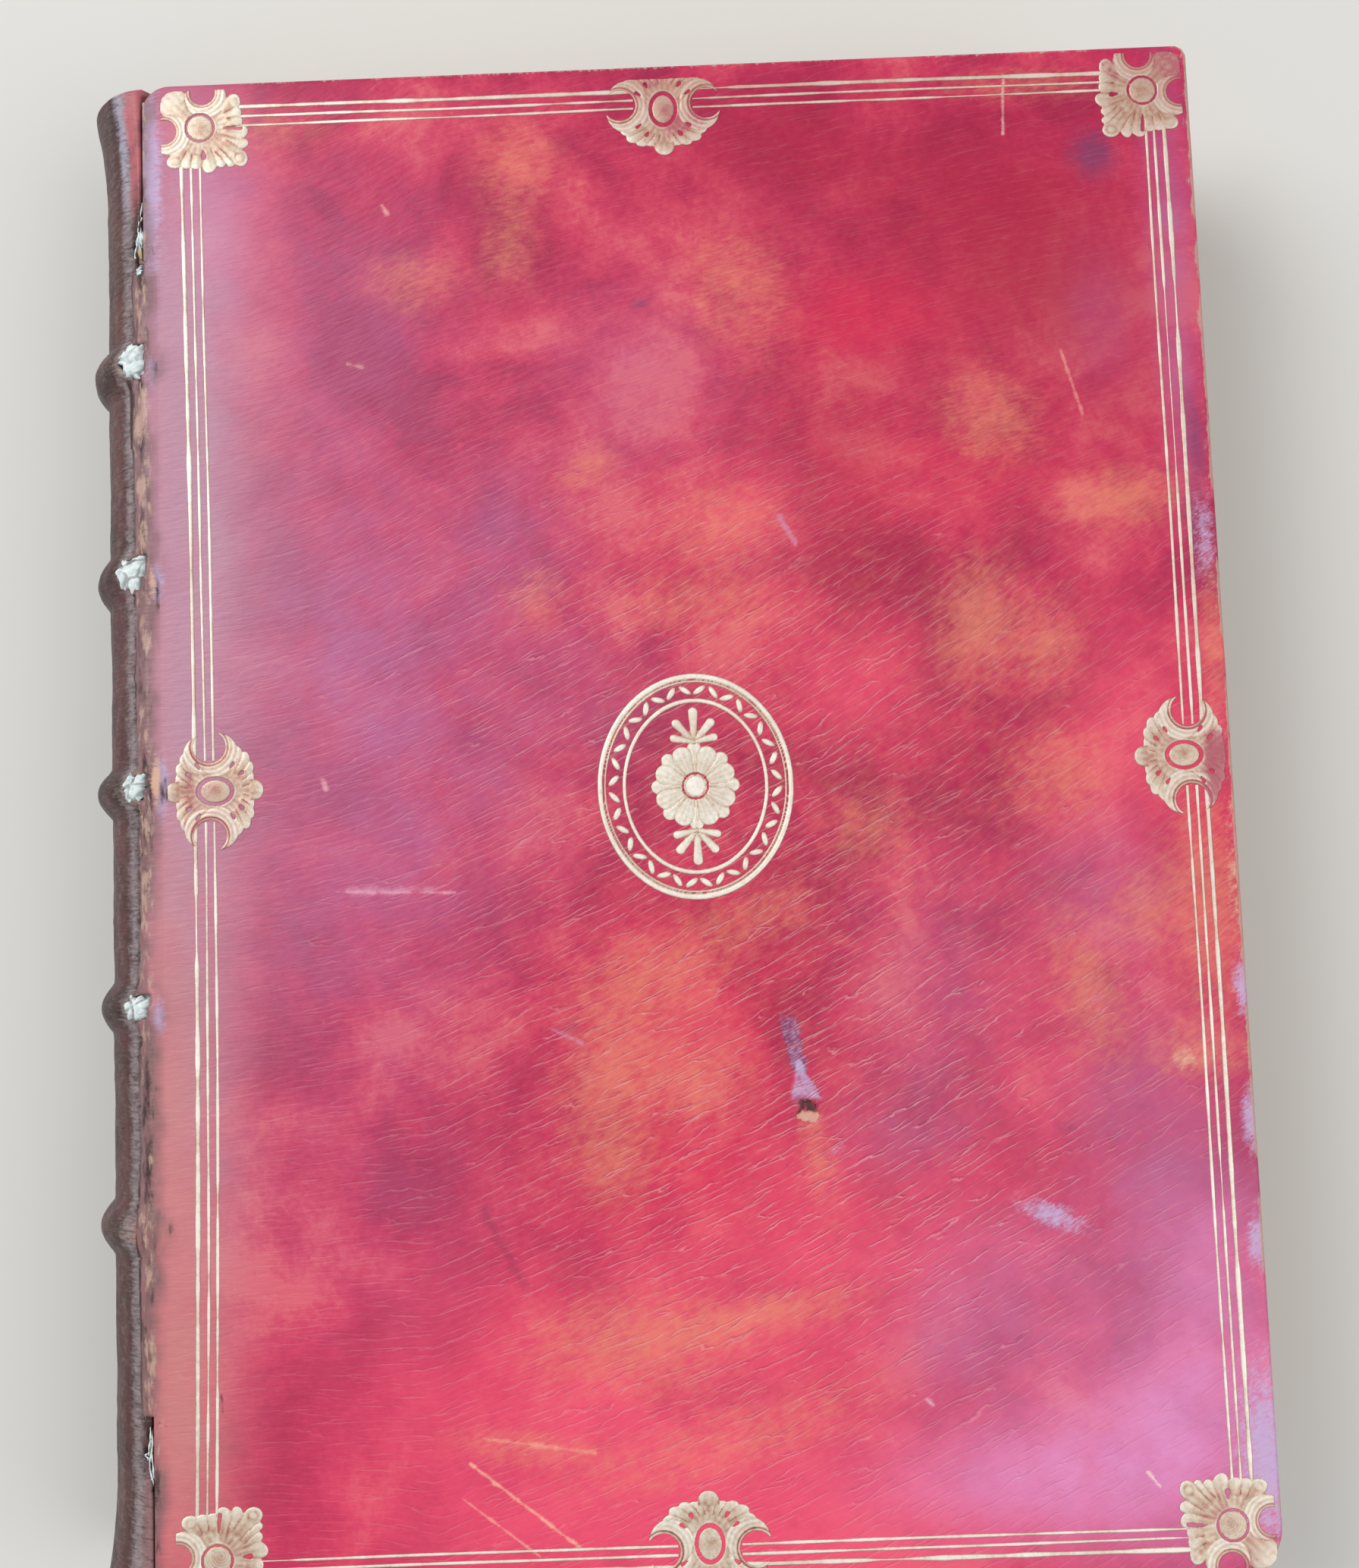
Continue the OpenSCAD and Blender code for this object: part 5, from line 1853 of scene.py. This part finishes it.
@dataclass
class Spine:
    """The leather over the back, its exposed cords and the strips over the joints."""

    sizes: BookSizes
    arc_steps: int = 60
    up_step: float = 0.7
    flare: float = 2.2
    flare_len: float = 22.0
    lip: float = 3.0
    worn_reach: tuple[float, ...] = (4.0, 5.0, 3.6, 3.8, 0.0)
    worn_len: tuple[float, ...] = (7.6, 6.8, 5.4, 4.6, 1.0)
    head_crack: float = 104.0
    tail_crack: float = -105.0

    def __post_init__(self) -> None:
        """Works out the arc."""
        self.radius, self.mid, self.half = self.sizes.arc()
        self.length = self.radius * self.half

    def rise(self, k: Array, y: Array) -> Array:
        """Height over the plain arc: rounded bands and a flare at the caps, dying at the joints.

        Args:
            k, y: Share of the half arc, and height up the spine.

        Returns:
            The height, in millimetres.
        """
        bands = np.zeros(np.broadcast(k, y).shape)
        for i, band in enumerate(self.sizes.band_y):
            lean = band + 0.5 * math.sin(2.1 * i) * k
            s = 2 * (y - lean) / (self.sizes.band_w * (1.0 + 0.06 * math.sin(5 * i + 1)))
            high = self.sizes.band_h * (0.92 + 0.08 * math.cos(3 * i))
            bands = np.maximum(bands, high * np.clip(1 - s * s, 0, 1) ** 1.15)
        near_end = np.clip(1 - (self.sizes.spine_end - np.abs(y)) / self.flare_len, 0, 1)
        return (bands + self.flare * near_end**2) * (1 - np.abs(k) ** 6)

    def point(self, k: Array, y: Array, lift: Array) -> Array:
        """Frame point at k of the half arc (1 at the front joint), lifted over the arc.

        Args:
            k, y: Share of the half arc, and height up the spine.
            lift: Height over the arc.

        Returns:
            The points, (..., 3).
        """
        turn = k * self.half
        r = self.radius + lift
        x = self.sizes.joint_x + self.mid - r * np.cos(turn)
        z = self.sizes.middle + r * np.sin(turn)
        return np.stack(np.broadcast_arrays(x, y, z), axis=-1)

    def front_edge(self, y: Array) -> Array:
        """Share of the half arc that is left in front of the rubbed places.

        Args:
            y: Height up the spine.

        Returns:
            The share at each height.
        """
        lost = np.zeros(y.shape)
        for band, reach, length in zip(self.sizes.band_y, self.worn_reach, self.worn_len):
            s = 2 * (y - band) / length
            lost = np.maximum(lost, reach * np.sqrt(np.clip(1 - s * s, 0, 1)))
        # The cracks near the head and the tail gape a little
        lost = np.maximum(lost, 1.3 * ease(y, 100.6, 101.8) * (1 - ease(y, 109.0, 110.4)))
        lost = np.maximum(lost, 0.9 * ease(-y, 106.0, 108.0) * (1 - ease(-y, 114.0, 118.0)))
        ragged = 0.6 * noise(y, 0, 1.6, 5, 3) * (lost > 0)
        return 1 - np.clip(lost + ragged, 0, 8) / self.length

    def detail(self, k: Array, y: Array) -> Array:
        """Dents, creases and cracks in the old leather, in millimetres.

        Args:
            k, y: Share of the half arc, and height up the spine.

        Returns:
            What the skin's height gains.
        """
        s = k * self.length
        lumps = 0.16 * noise(s, y, 9, 21, 2) + 0.07 * noise(s * 1.5, y, 2.2, 23, 2)
        streak = 0.08 * noise(s * 3, y, 14.0, 27, 2)
        crack = bell(s + 0.6 * noise(y, 0, 9, 29, 2), 0.86 * self.length, 0.35)
        return lumps + streak - 0.3 * crack * ease(noise(y, 0, 24, 33), -0.2, 0.3)

    def values(self, k: Array, y: Array) -> Values:
        """Stain values of the spine leather.

        Args:
            k, y: Share of the half arc, and height up the spine.

        Returns:
            Strength of each stain at each point.
        """
        s = (1 - k) * self.length
        band = np.clip(self.rise(k * 0, y) / self.sizes.band_h, 0, 1)
        ridge = 0.7 * bell(s, 0, 1.6) * (1 - ease(y, 92, 104)) * (1 - ease(-y, 98, 108))
        torn = s + 0.5 * noise(s, y, 3.0, 37, 3)
        skinned = 1.3 * (1 - ease(torn, 2.2, 3.4)) * ease(y + 2 * noise(s, y, 5, 39), 108, 122)
        skinned = skinned * (0.8 + 0.5 * noise(s, y, 4.0, 43, 3))
        found = {
            "rubbed": (ridge + 0.3 * band * bell(s, 0, 7) + 0.12 * band
                       + 0.3 * bell((1 + k) * self.length, 0, 2)),
            # Painted sheen: a soft grey highlight a few millimetres from the ridge
            "grey": 0.6 * bell(s, 3.4, 2.0) + 0.2 * bell(s, 9.0, 3.0),
            "red": 0.5 * bell(s, 8.0, 4.0) * (1 - band) + 0.15,
            "salmon": 0.9 * bell(s, 0, 3.4) * ease(-y, 104, 122),
            "skinned": skinned,
            # Painted sheen: a lilac highlight near the head
            "bloom": 0.7 * bell(s, 4.2, 1.6) * ease(y, 100, 124),
            "creased": 0.7 * (1 - 0.8 * np.clip(skinned, 0, 1)),
        }
        return {key: np.clip(value, 0, 1.4) for key, value in found.items()}

    def skin(self) -> Surface:
        """The leather: at each height a ring out along the outer arc and back along the inner.

        Returns:
            The closed skin.
        """
        end = self.sizes.spine_end
        y = stations(-end, end, self.up_step, [(-end, -end + 2, 0.3), (end - 2, end, 0.3)])
        j = np.linspace(0, 1, self.arc_steps + 1)
        k = -1 + j[None, :] * (1 + self.front_edge(y)[:, None])
        yy = np.broadcast_to(y[:, None], k.shape)
        near_end = ease(np.abs(yy), end - 0.8, end)
        rise = self.rise(k, yy)
        outer = rise + self.detail(k, yy) * (1 - near_end) * (1 - np.abs(k) ** 8) - 0.7 * near_end**2
        hooded = ease(np.abs(yy), end - 1.5, end - 1.1)
        inner = (rise - self.sizes.leather) * (1 - hooded) - self.lip * hooded
        inner = np.minimum(inner, outer - 0.35)
        ring = np.concatenate([self.point(k, yy, outer), self.point(k, yy, inner)[:, ::-1]], axis=1)
        kk, ring_y = np.concatenate([k, k[:, ::-1]], axis=1), np.concatenate([yy, yy], axis=1)
        n = ring.shape[1]
        j = np.arange(n // 2 - 1)
        low = np.stack([j, j + 1, n - 2 - j, n - 1 - j], axis=1)
        high = low[:, ::-1] + (len(y) - 1) * n
        uv = np.stack([kk * self.length, ring_y], axis=-1)
        skin = Surface.on_grid(ring, self.values(kk, ring_y), uv, wrap=True)
        skin.faces = np.concatenate([skin.faces, high, low])
        return skin.flipped()

    def core(self, band: int, y0: float, reach: float, tall: float, sunk: float) -> Surface:
        """Glued fibre in a torn place: a domed patch cracked into small blocks.

        Rings of a ragged oval run out from its middle. The height is a dome that sinks below
        the leather at the rim, plus a small dome for each block of cell noise.

        Args:
            band: Number that picks the random shape.
            y0: Height of its middle.
            reach: Width, from the joint to the side.
            tall: Half height.
            sunk: Depth of its rim under the leather.

        Returns:
            The patch.
        """
        turn = np.linspace(0, 2 * np.pi, 96, endpoint=False)
        out, turn = np.meshgrid(np.linspace(0, 1, 30), turn, indexing="ij")
        c, d = np.cos(turn), np.sin(turn)
        square = 1 / np.maximum(np.abs(c), np.abs(d)) ** 0.55
        ragged = square * (0.9 + 0.32 * noise(3 * c + 9, 3 * d + 9, 1.2, 300 + band, 3))
        s = reach * 0.5 - 0.1 + (reach * 0.5 + 0.5) * out * ragged * c
        y = y0 + tall * out * ragged * d
        near, gap = cells(s + 0.4 * noise(s, y, 1.5, 315), y + 0.4 * s, 2.5, 310 + band)
        crack = 1 - ease(gap + 0.2 * noise(s, y, 0.9, 320 + band, 2), 0.0, 0.26)
        crack = np.clip(crack * (0.55 + 0.45 * noise(s, y, 2.5, 325)), 0, 1)
        height = self.rise(1 - s / self.length, y) - sunk + 0.85 * (1 - out**4)
        height = height + 0.16 * (1 - near) - 0.2 * crack + 0.06 * noise(s, y, 0.5, 330 + band, 2)
        points = self.point(1 - s / self.length, y, height)
        return Surface.on_grid(points, {"crack": crack}, wrap=True).flipped()

    def fibres(self, path_y: tuple[float, float], s_at: float, count: int, seed: int) -> Surface:
        """Loose threads that hang in a cracked joint, each a thin tube along a wavy line.

        Args:
            path_y: Lowest and highest end.
            s_at: Distance from the joint.
            count: Number of threads.
            seed: Seed of their places.

        Returns:
            All the threads as one surface.
        """
        rng = np.random.default_rng(seed)
        t = np.linspace(0, 1, 24)
        threads = []
        for number in range(count):
            low, high = np.sort(rng.uniform(*path_y, 2))
            s = s_at + rng.uniform(-0.5, 0.5) + 0.35 * np.sin(rng.uniform(3, 8) * t + number)
            y = low + (high - low) * t
            lift = -0.9 + rng.uniform(0, 0.9) + 0.3 * np.sin(np.pi * t)
            path = self.point(1 - s / self.length, y, lift)
            threads.append(tube(path, 0.13 + 0.05 * np.sin(17 * t + number), 5))
        return merged(threads)

    def strip(self, cover: Cover) -> Surface:
        """Leather over a joint: a thin skin from the spine's edge over the ridge to the cover.

        It is cut away where the cords show through and where the joint has cracked.

        Args:
            cover: The cover at this joint.

        Returns:
            The strip, with no thickness.
        """
        front, sign = cover.front, 1.0 if cover.front else -1.0
        reach_spine, reach_cover = 3.0, 3.2
        end = self.sizes.spine_end - 3.0
        y = stations(-end, end, 0.6)
        t = np.linspace(-1, 1, 25)
        tt, yy = np.meshgrid(t, y, indexing="ij")
        s = np.where(tt < 0, -tt * reach_spine, 0.0)
        k = 1 - s / self.length
        on_spine = self.point(sign * k, yy, self.rise(k, yy) + self.detail(sign * k, yy) * (tt < -0.2))
        u = np.maximum(tt, 0) * reach_cover + cover.sizes.joint_edge * ease(tt, -0.15, 0.15)
        on_cover = cover.place(u, yy, cover.relief(np.maximum(u, 0.9), yy))
        blend = ease(tt, -0.12, 0.12)[..., None]
        points = on_spine * (1 - blend) + on_cover * blend
        band = np.maximum.reduce([bell(yy, centre, 3.0) for centre in self.sizes.band_y])
        taper = 1 - ease(np.abs(tt), 0.25, 1.0)
        gone = np.zeros(yy.shape)
        if front:
            ragged = 0.6 * noise(tt * 4, yy, 2.0, 61, 3)
            # Where cords show, and towards the ends, only the part pasted on the board is left
            spine_side = 1 - ease(tt + 0.3 * ragged, 0.1, 0.25)
            for centre, reach, length in zip(self.sizes.band_y, self.worn_reach, self.worn_len):
                d = np.hypot((tt + 0.45) * 3.0 / max(reach, 0.1), 2 * (yy - centre) / length)
                shown = (1.2 - d) * (1 - ease(tt + 0.5 * ragged, -0.02, 0.2))
                gone = np.maximum(gone, shown) if reach > 0 else gone
            past = np.maximum(yy - self.head_crack, self.tail_crack - yy)
            gone = np.maximum(gone, spine_side * ease(past + 3 * ragged, -2, 1))
            gone = np.maximum(gone, ease(past + 3 * ragged, 0.0, 5.0))
        # The skin sinks into the ones under it as it nears a torn edge
        whole = 1 - ease(gone, -0.25, 0.35)
        ridge = (0.3 * band + 0.1 * noise(tt * 3, yy, 1.3, 51, 3)) * bell(tt, 0, 0.35)
        lift = 0.3 * taper * whole - 0.17 + ridge * whole
        lift = lift if front else np.minimum(lift, 0.0) - 0.02
        points = points + np.array([-0.45, 0.0, 0.9 * sign]) * lift[..., None]
        points[..., 2] = np.maximum(points[..., 2], 0.3 if front else 0.15)
        faces = grid_quads(*tt.shape)
        kept = faces[(gone.ravel()[faces] < 0.35).all(axis=1)]
        if front:
            kept = kept[:, ::-1]
        values = cover.values(u - s, yy)
        values["blackened"] = np.clip(values["blackened"] + 1.1 * (1 - ease(tt, -1.0, -0.45)), 0, 1.2)
        values["creased"] = 0 * tt
        # Painted sheen: a silvery highlight along the spine side of the strip
        silver_sheen = bell(tt, -0.5, 0.3) * (0.2 + 0.5 * noise(tt, yy, 8, 78, 2))
        values["bloom"] = np.clip(np.maximum(values["bloom"] * (tt > 0), silver_sheen), 0, 1)
        uv = cover.grain.uv(np.maximum(u, 0) - s, yy).reshape(-1, 2)
        used, local = np.unique(kept, return_inverse=True)
        flat_values = {key: value.ravel()[used] for key, value in values.items()}
        return Surface(points.reshape(-1, 3)[used], local.reshape(-1, 4), flat_values, uv[used])

    def build(self, frame: dict, leather: Material, crimson: Material, hemp: Material,
              covers: Sequence[Cover]) -> None:
        """Makes the spine's pieces.

        Args:
            covers: Both covers.
        """
        skin = self.skin().make("spine_cover_leather", leather, "spine_leather")
        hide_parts("spine_leather")
        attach(skin, "text_block")
        for band in range(4):
            reach, tall = self.worn_reach[band], self.worn_len[band] / 2 + 0.3
            cord = self.core(band, self.sizes.band_y[band], reach, tall, 0.55)
            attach(cord.make(f"exposed_cord_{band + 1}", hemp, "cord", merge=True), "text_block")
        lint = self.core(7, 108.6, 1.3, 1.9, 1.1).joined(self.core(9, 102.0, 1.5, 1.2, 1.0))
        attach(lint.make("head_joint_lint", hemp, "cord", merge=True), "text_block")
        for name, stretch, s_at, count in (("head", (104.0, 116.0), 0.5, 9),
                                           ("tail", (-117.0, -106.0), 0.4, 8)):
            threads = self.fibres(stretch, s_at, count, 400 + count)
            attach(threads.make(f"{name}_loose_threads", hemp, "cord"), "text_block")
        for cover in covers:
            strip = self.strip(cover).make(f"{cover.side.value}_joint_leather", crimson, "spine_leather")
            solid = strip.modifiers.new("thickness", "SOLIDIFY")
            solid.thickness = 0.12 * MM
            solid.offset = -1.0
            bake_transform(strip)
        for i in range(1, 6):
            dress(frame, f"sewing_cord_{i}", hemp)


# Pages


@dataclass
class Pages:
    """The text block, its endpapers, lining and endbands."""

    sizes: BookSizes
    hollow: float = 5.0
    page_t: float = 28.2
    across: int = 70
    through: int = 120
    up: int = 90

    def __post_init__(self) -> None:
        """Works out the back of the block from its box."""
        self.mid = self.sizes.joint_x + self.sizes.arc()[1]
        self.back_r = self.mid - self.sizes.page_lo[0]
        self.fore = self.sizes.page_hi[0]
        self.half_t = self.page_t / 2
        self.half_h = self.sizes.page_hi[1]
        self.fore_r = (self.half_t**2 + self.hollow**2) / (2 * self.hollow)

    def point(self, a: Array, b: Array, c: Array) -> Array:
        """A point of the block: a from back to fore-edge, b through the leaves, c from tail to head.

        Each leaf lies at its own height, from the rounded back to the hollow fore-edge, and the
        outer leaves bend out into the shoulders near the back.

        Args:
            a, b, c: Shares of the block: 0 to 1, then -1 to 1 each.

        Returns:
            The points, (..., 3).
        """
        joint = self.sizes.joint_x
        shoulder = math.sqrt(self.back_r**2 - (self.mid - joint) ** 2)
        fore_x = self.fore - self.hollow + self.fore_r - np.sqrt(self.fore_r**2 - (b * self.half_t) ** 2)
        back_x = self.mid - np.sqrt(self.back_r**2 - np.clip(b * shoulder, -self.back_r, self.back_r) ** 2)
        x = back_x + a * (fore_x - back_x)
        spread = self.half_t + (shoulder - self.half_t) * (1 - ease(x, joint - 0.4, joint + 0.6))
        z = self.sizes.middle + b * spread
        return np.stack(np.broadcast_arrays(x, c * self.half_h, z), axis=-1)

    def block(self) -> Surface:
        """The leaves as one closed block whose three open edges are slightly uneven.

        Returns:
            Six sides that meet at their edges.
        """
        a = np.concatenate([np.linspace(0, 0.09, 22), np.linspace(0.09, 1, self.across - 21)[1:]])
        b = np.linspace(-1, 1, self.through + 1)
        c = np.linspace(-1, 1, self.up + 1)
        one = np.array([1.0])
        sides = []
        for axes, flip in (((a, b, one), True), ((a, b, -one), False), ((one, b, c), True),
                           ((0 * one, b, c), False), ((a, one, c), False), ((a, -one, c), True)):
            aa, bb, cc = np.meshgrid(*axes, indexing="ij")
            points = self.point(aa, bb, cc)
            leaf = bb * self.half_t
            jitter = 0.07 * noise(leaf * 8, 0, 1.0, 3) + 0.12 * noise(leaf, 1, 1.7, 4)
            inner = 1 - np.abs(bb) ** 16
            wave = 0.2 * noise(points[..., 1], leaf, 46, 6)
            points[..., 0] += np.where(aa > 0.999, (jitter + wave) * inner - 0.1, 0)
            uneven = (jitter + 0.12 * noise(points[..., 0], leaf, 30, 8)) * inner
            uneven = uneven * ease(aa, 0, 0.1) * (aa < 0.9999)
            points[..., 1] += np.where(np.abs(cc) > 0.999, uneven - np.sign(cc) * 0.12, 0)
            side = Surface.on_grid(points.squeeze())
            sides.append(side.flipped() if flip else side)
        return merged(sides)

    def endband(self, end: int) -> tuple[Surface, Surface]:
        """A wound core along the back: a tube whose skin swells at each turn of silk.

        Args:
            end: 1 at the head, -1 at the tail.

        Returns:
            The light and the dark turns, which alternate.
        """
        low, high = self.sizes.endband_y
        radius = (high - low) / 2
        turns, rings_a_turn, sides = 34, 6, 14
        t = np.linspace(0, 1, turns * rings_a_turn + 1)
        angle = (2 * t - 1) * math.radians(48)
        ring = self.back_r - radius - 0.05
        path = np.stack([self.mid - ring * np.cos(angle), 0 * t + end * (low + high) / 2,
                         self.sizes.middle + ring * np.sin(angle)], axis=1)
        skin = tube(path, radius * (0.9 + 0.1 * np.abs(np.sin(np.pi * turns * t))), sides)
        which = (skin.faces.min(axis=1) // sides // rings_a_turn) % 4 < 2
        return Surface(skin.points, skin.faces[which]), Surface(skin.points, skin.faces[~which])

    def build(self, frame: dict, looks: dict[str, Material]) -> None:
        """Makes the block and the endbands, and dresses the flat papers.

        Args:
            looks: Materials by name.
        """
        block = self.block().make("page_block", looks["pages"], "pages", merge=True)
        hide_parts("text_block")
        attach(block, "text_block")
        for end, name in ((1, "head"), (-1, "tail")):
            light, dark = self.endband(end)
            light_silk = light.make(f"{name}_endband_light_silk", looks["silk"], "endband")
            red_silk = dark.make(f"{name}_endband_red_silk", looks["red_silk"], "endband")
            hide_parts(f"{name}_endband")
            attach(light_silk, "text_block")
            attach(red_silk, "text_block")
        for node, look in (("front_free_endpaper", "endpaper"), ("back_free_endpaper", "endpaper"),
                           ("spine_lining", "lining")):
            dress(frame, node, looks[look])


# Studio


@dataclass(frozen=True)
class Studio:
    """Pale floor, soft light and the photograph's camera."""

    sizes: BookSizes
    focal_px: float = 2600.0
    sensor_mm: float = 36.0
    # Camera place from the middle of the outer gold line's frame, on the front cover's face
    eye: tuple[float, float, float] = (-0.34, -33.46, 351.7)
    forward: tuple[float, float, float] = (-0.0071, 0.1027, -0.9947)
    down: tuple[float, float, float] = (-0.0377, -0.994, -0.1023)
    frame_mid_u: float = 98.75
    # Half the floor's width, in metres
    floor_m: float = 3.0

    def camera(self) -> None:
        """Places the camera where the photograph was taken from."""
        data = bpy.data.cameras.new("photo_camera")
        data.sensor_fit = "VERTICAL"
        data.sensor_height = self.sensor_mm
        data.lens = self.focal_px / PHOTO_HEIGHT_PX * self.sensor_mm
        data.clip_start, data.clip_end = 0.01, 20.0
        obj = placed("photo_camera", data)
        ahead = Vector(self.forward).normalized()
        down = (Vector(self.down) - ahead * Vector(self.down).dot(ahead)).normalized()
        right = down.cross(ahead)
        turn = Matrix((right, -down, -ahead)).transposed().to_4x4()
        place = Vector((self.sizes.joint_x + self.frame_mid_u + self.eye[0], self.eye[1],
                        self.sizes.top + self.eye[2])) * MM
        obj.matrix_world = Matrix.Translation(place) @ turn
        bpy.context.scene.camera = obj

    def floor(self) -> None:
        """A wide pale floor with a matt finish."""
        mesh = bpy.data.meshes.new("studio_floor")
        corners = [(self.floor_m * x, self.floor_m * y, 0) for x, y in ((-1, -1), (1, -1), (1, 1), (-1, 1))]
        mesh.from_pydata(corners, [], [(0, 1, 2, 3)])
        material, put, _ = start_material("matt_pale_floor")
        surface = put("BsdfPrincipled", {"Base Color": linear("#d6d4cf"), "Roughness": 0.9})
        put("OutputMaterial", {0: surface})
        mesh.materials.append(material)
        obj = placed("studio_floor", mesh)

    def lights(self) -> None:
        """A large soft lamp from the upper left, a fill from the right, and an even sky."""
        for name, place, size, watts in (("key", (-0.95, 0.7, 1.2), 1.0, 18.5),
                                         ("fill", (0.8, -0.3, 0.9), 1.0, 5.0)):
            data = bpy.data.lights.new(f"{name}_softbox", "AREA")
            data.shape, data.size, data.energy = "SQUARE", size, watts
            obj = placed(data.name, data)
            obj.location = place
            obj.rotation_euler = Vector(place).to_track_quat("Z", "Y").to_euler()
        world = bpy.data.worlds.new("studio_sky")
        world.use_nodes = True
        world.node_tree.nodes.clear()
        put = partial(add, world.node_tree)
        put("OutputWorld", {0: put("Background", {"Color": linear("#f2f4f8"), "Strength": 0.55})})
        bpy.context.scene.world = world

    def build(self) -> None:
        """Sets up the whole studio."""
        self.camera()
        self.floor()
        self.lights()
        bpy.context.scene.view_settings.view_transform = "Standard"


def main() -> None:
    """Builds every piece round the frame."""
    logging.basicConfig(level=logging.INFO, format="%(message)s")
    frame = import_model()
    sizes = BookSizes.from_frame(frame)
    Studio(sizes).build()
    crimson, backstrip, gold = CRIMSON.material(), BACKSTRIP.material(), GOLD.material()
    hemp, endpaper, board = HEMP.material(), ENDPAPER.material(), MILLBOARD.material()
    covers = [Cover(sizes, side) for side in Side]
    for cover in covers:
        cover.build(crimson, endpaper, board, hemp, frame)
        Tooling(cover).build(gold)
    Spine(sizes).build(frame, backstrip, crimson, hemp, covers)
    Pages(sizes).build(frame, {"pages": PAGES.material(), "endpaper": endpaper,
                               "lining": LINING.material(), "silk": SILK.material(),
                               "red_silk": SILK_RED.material()})


if __name__ == "__main__":
    main()
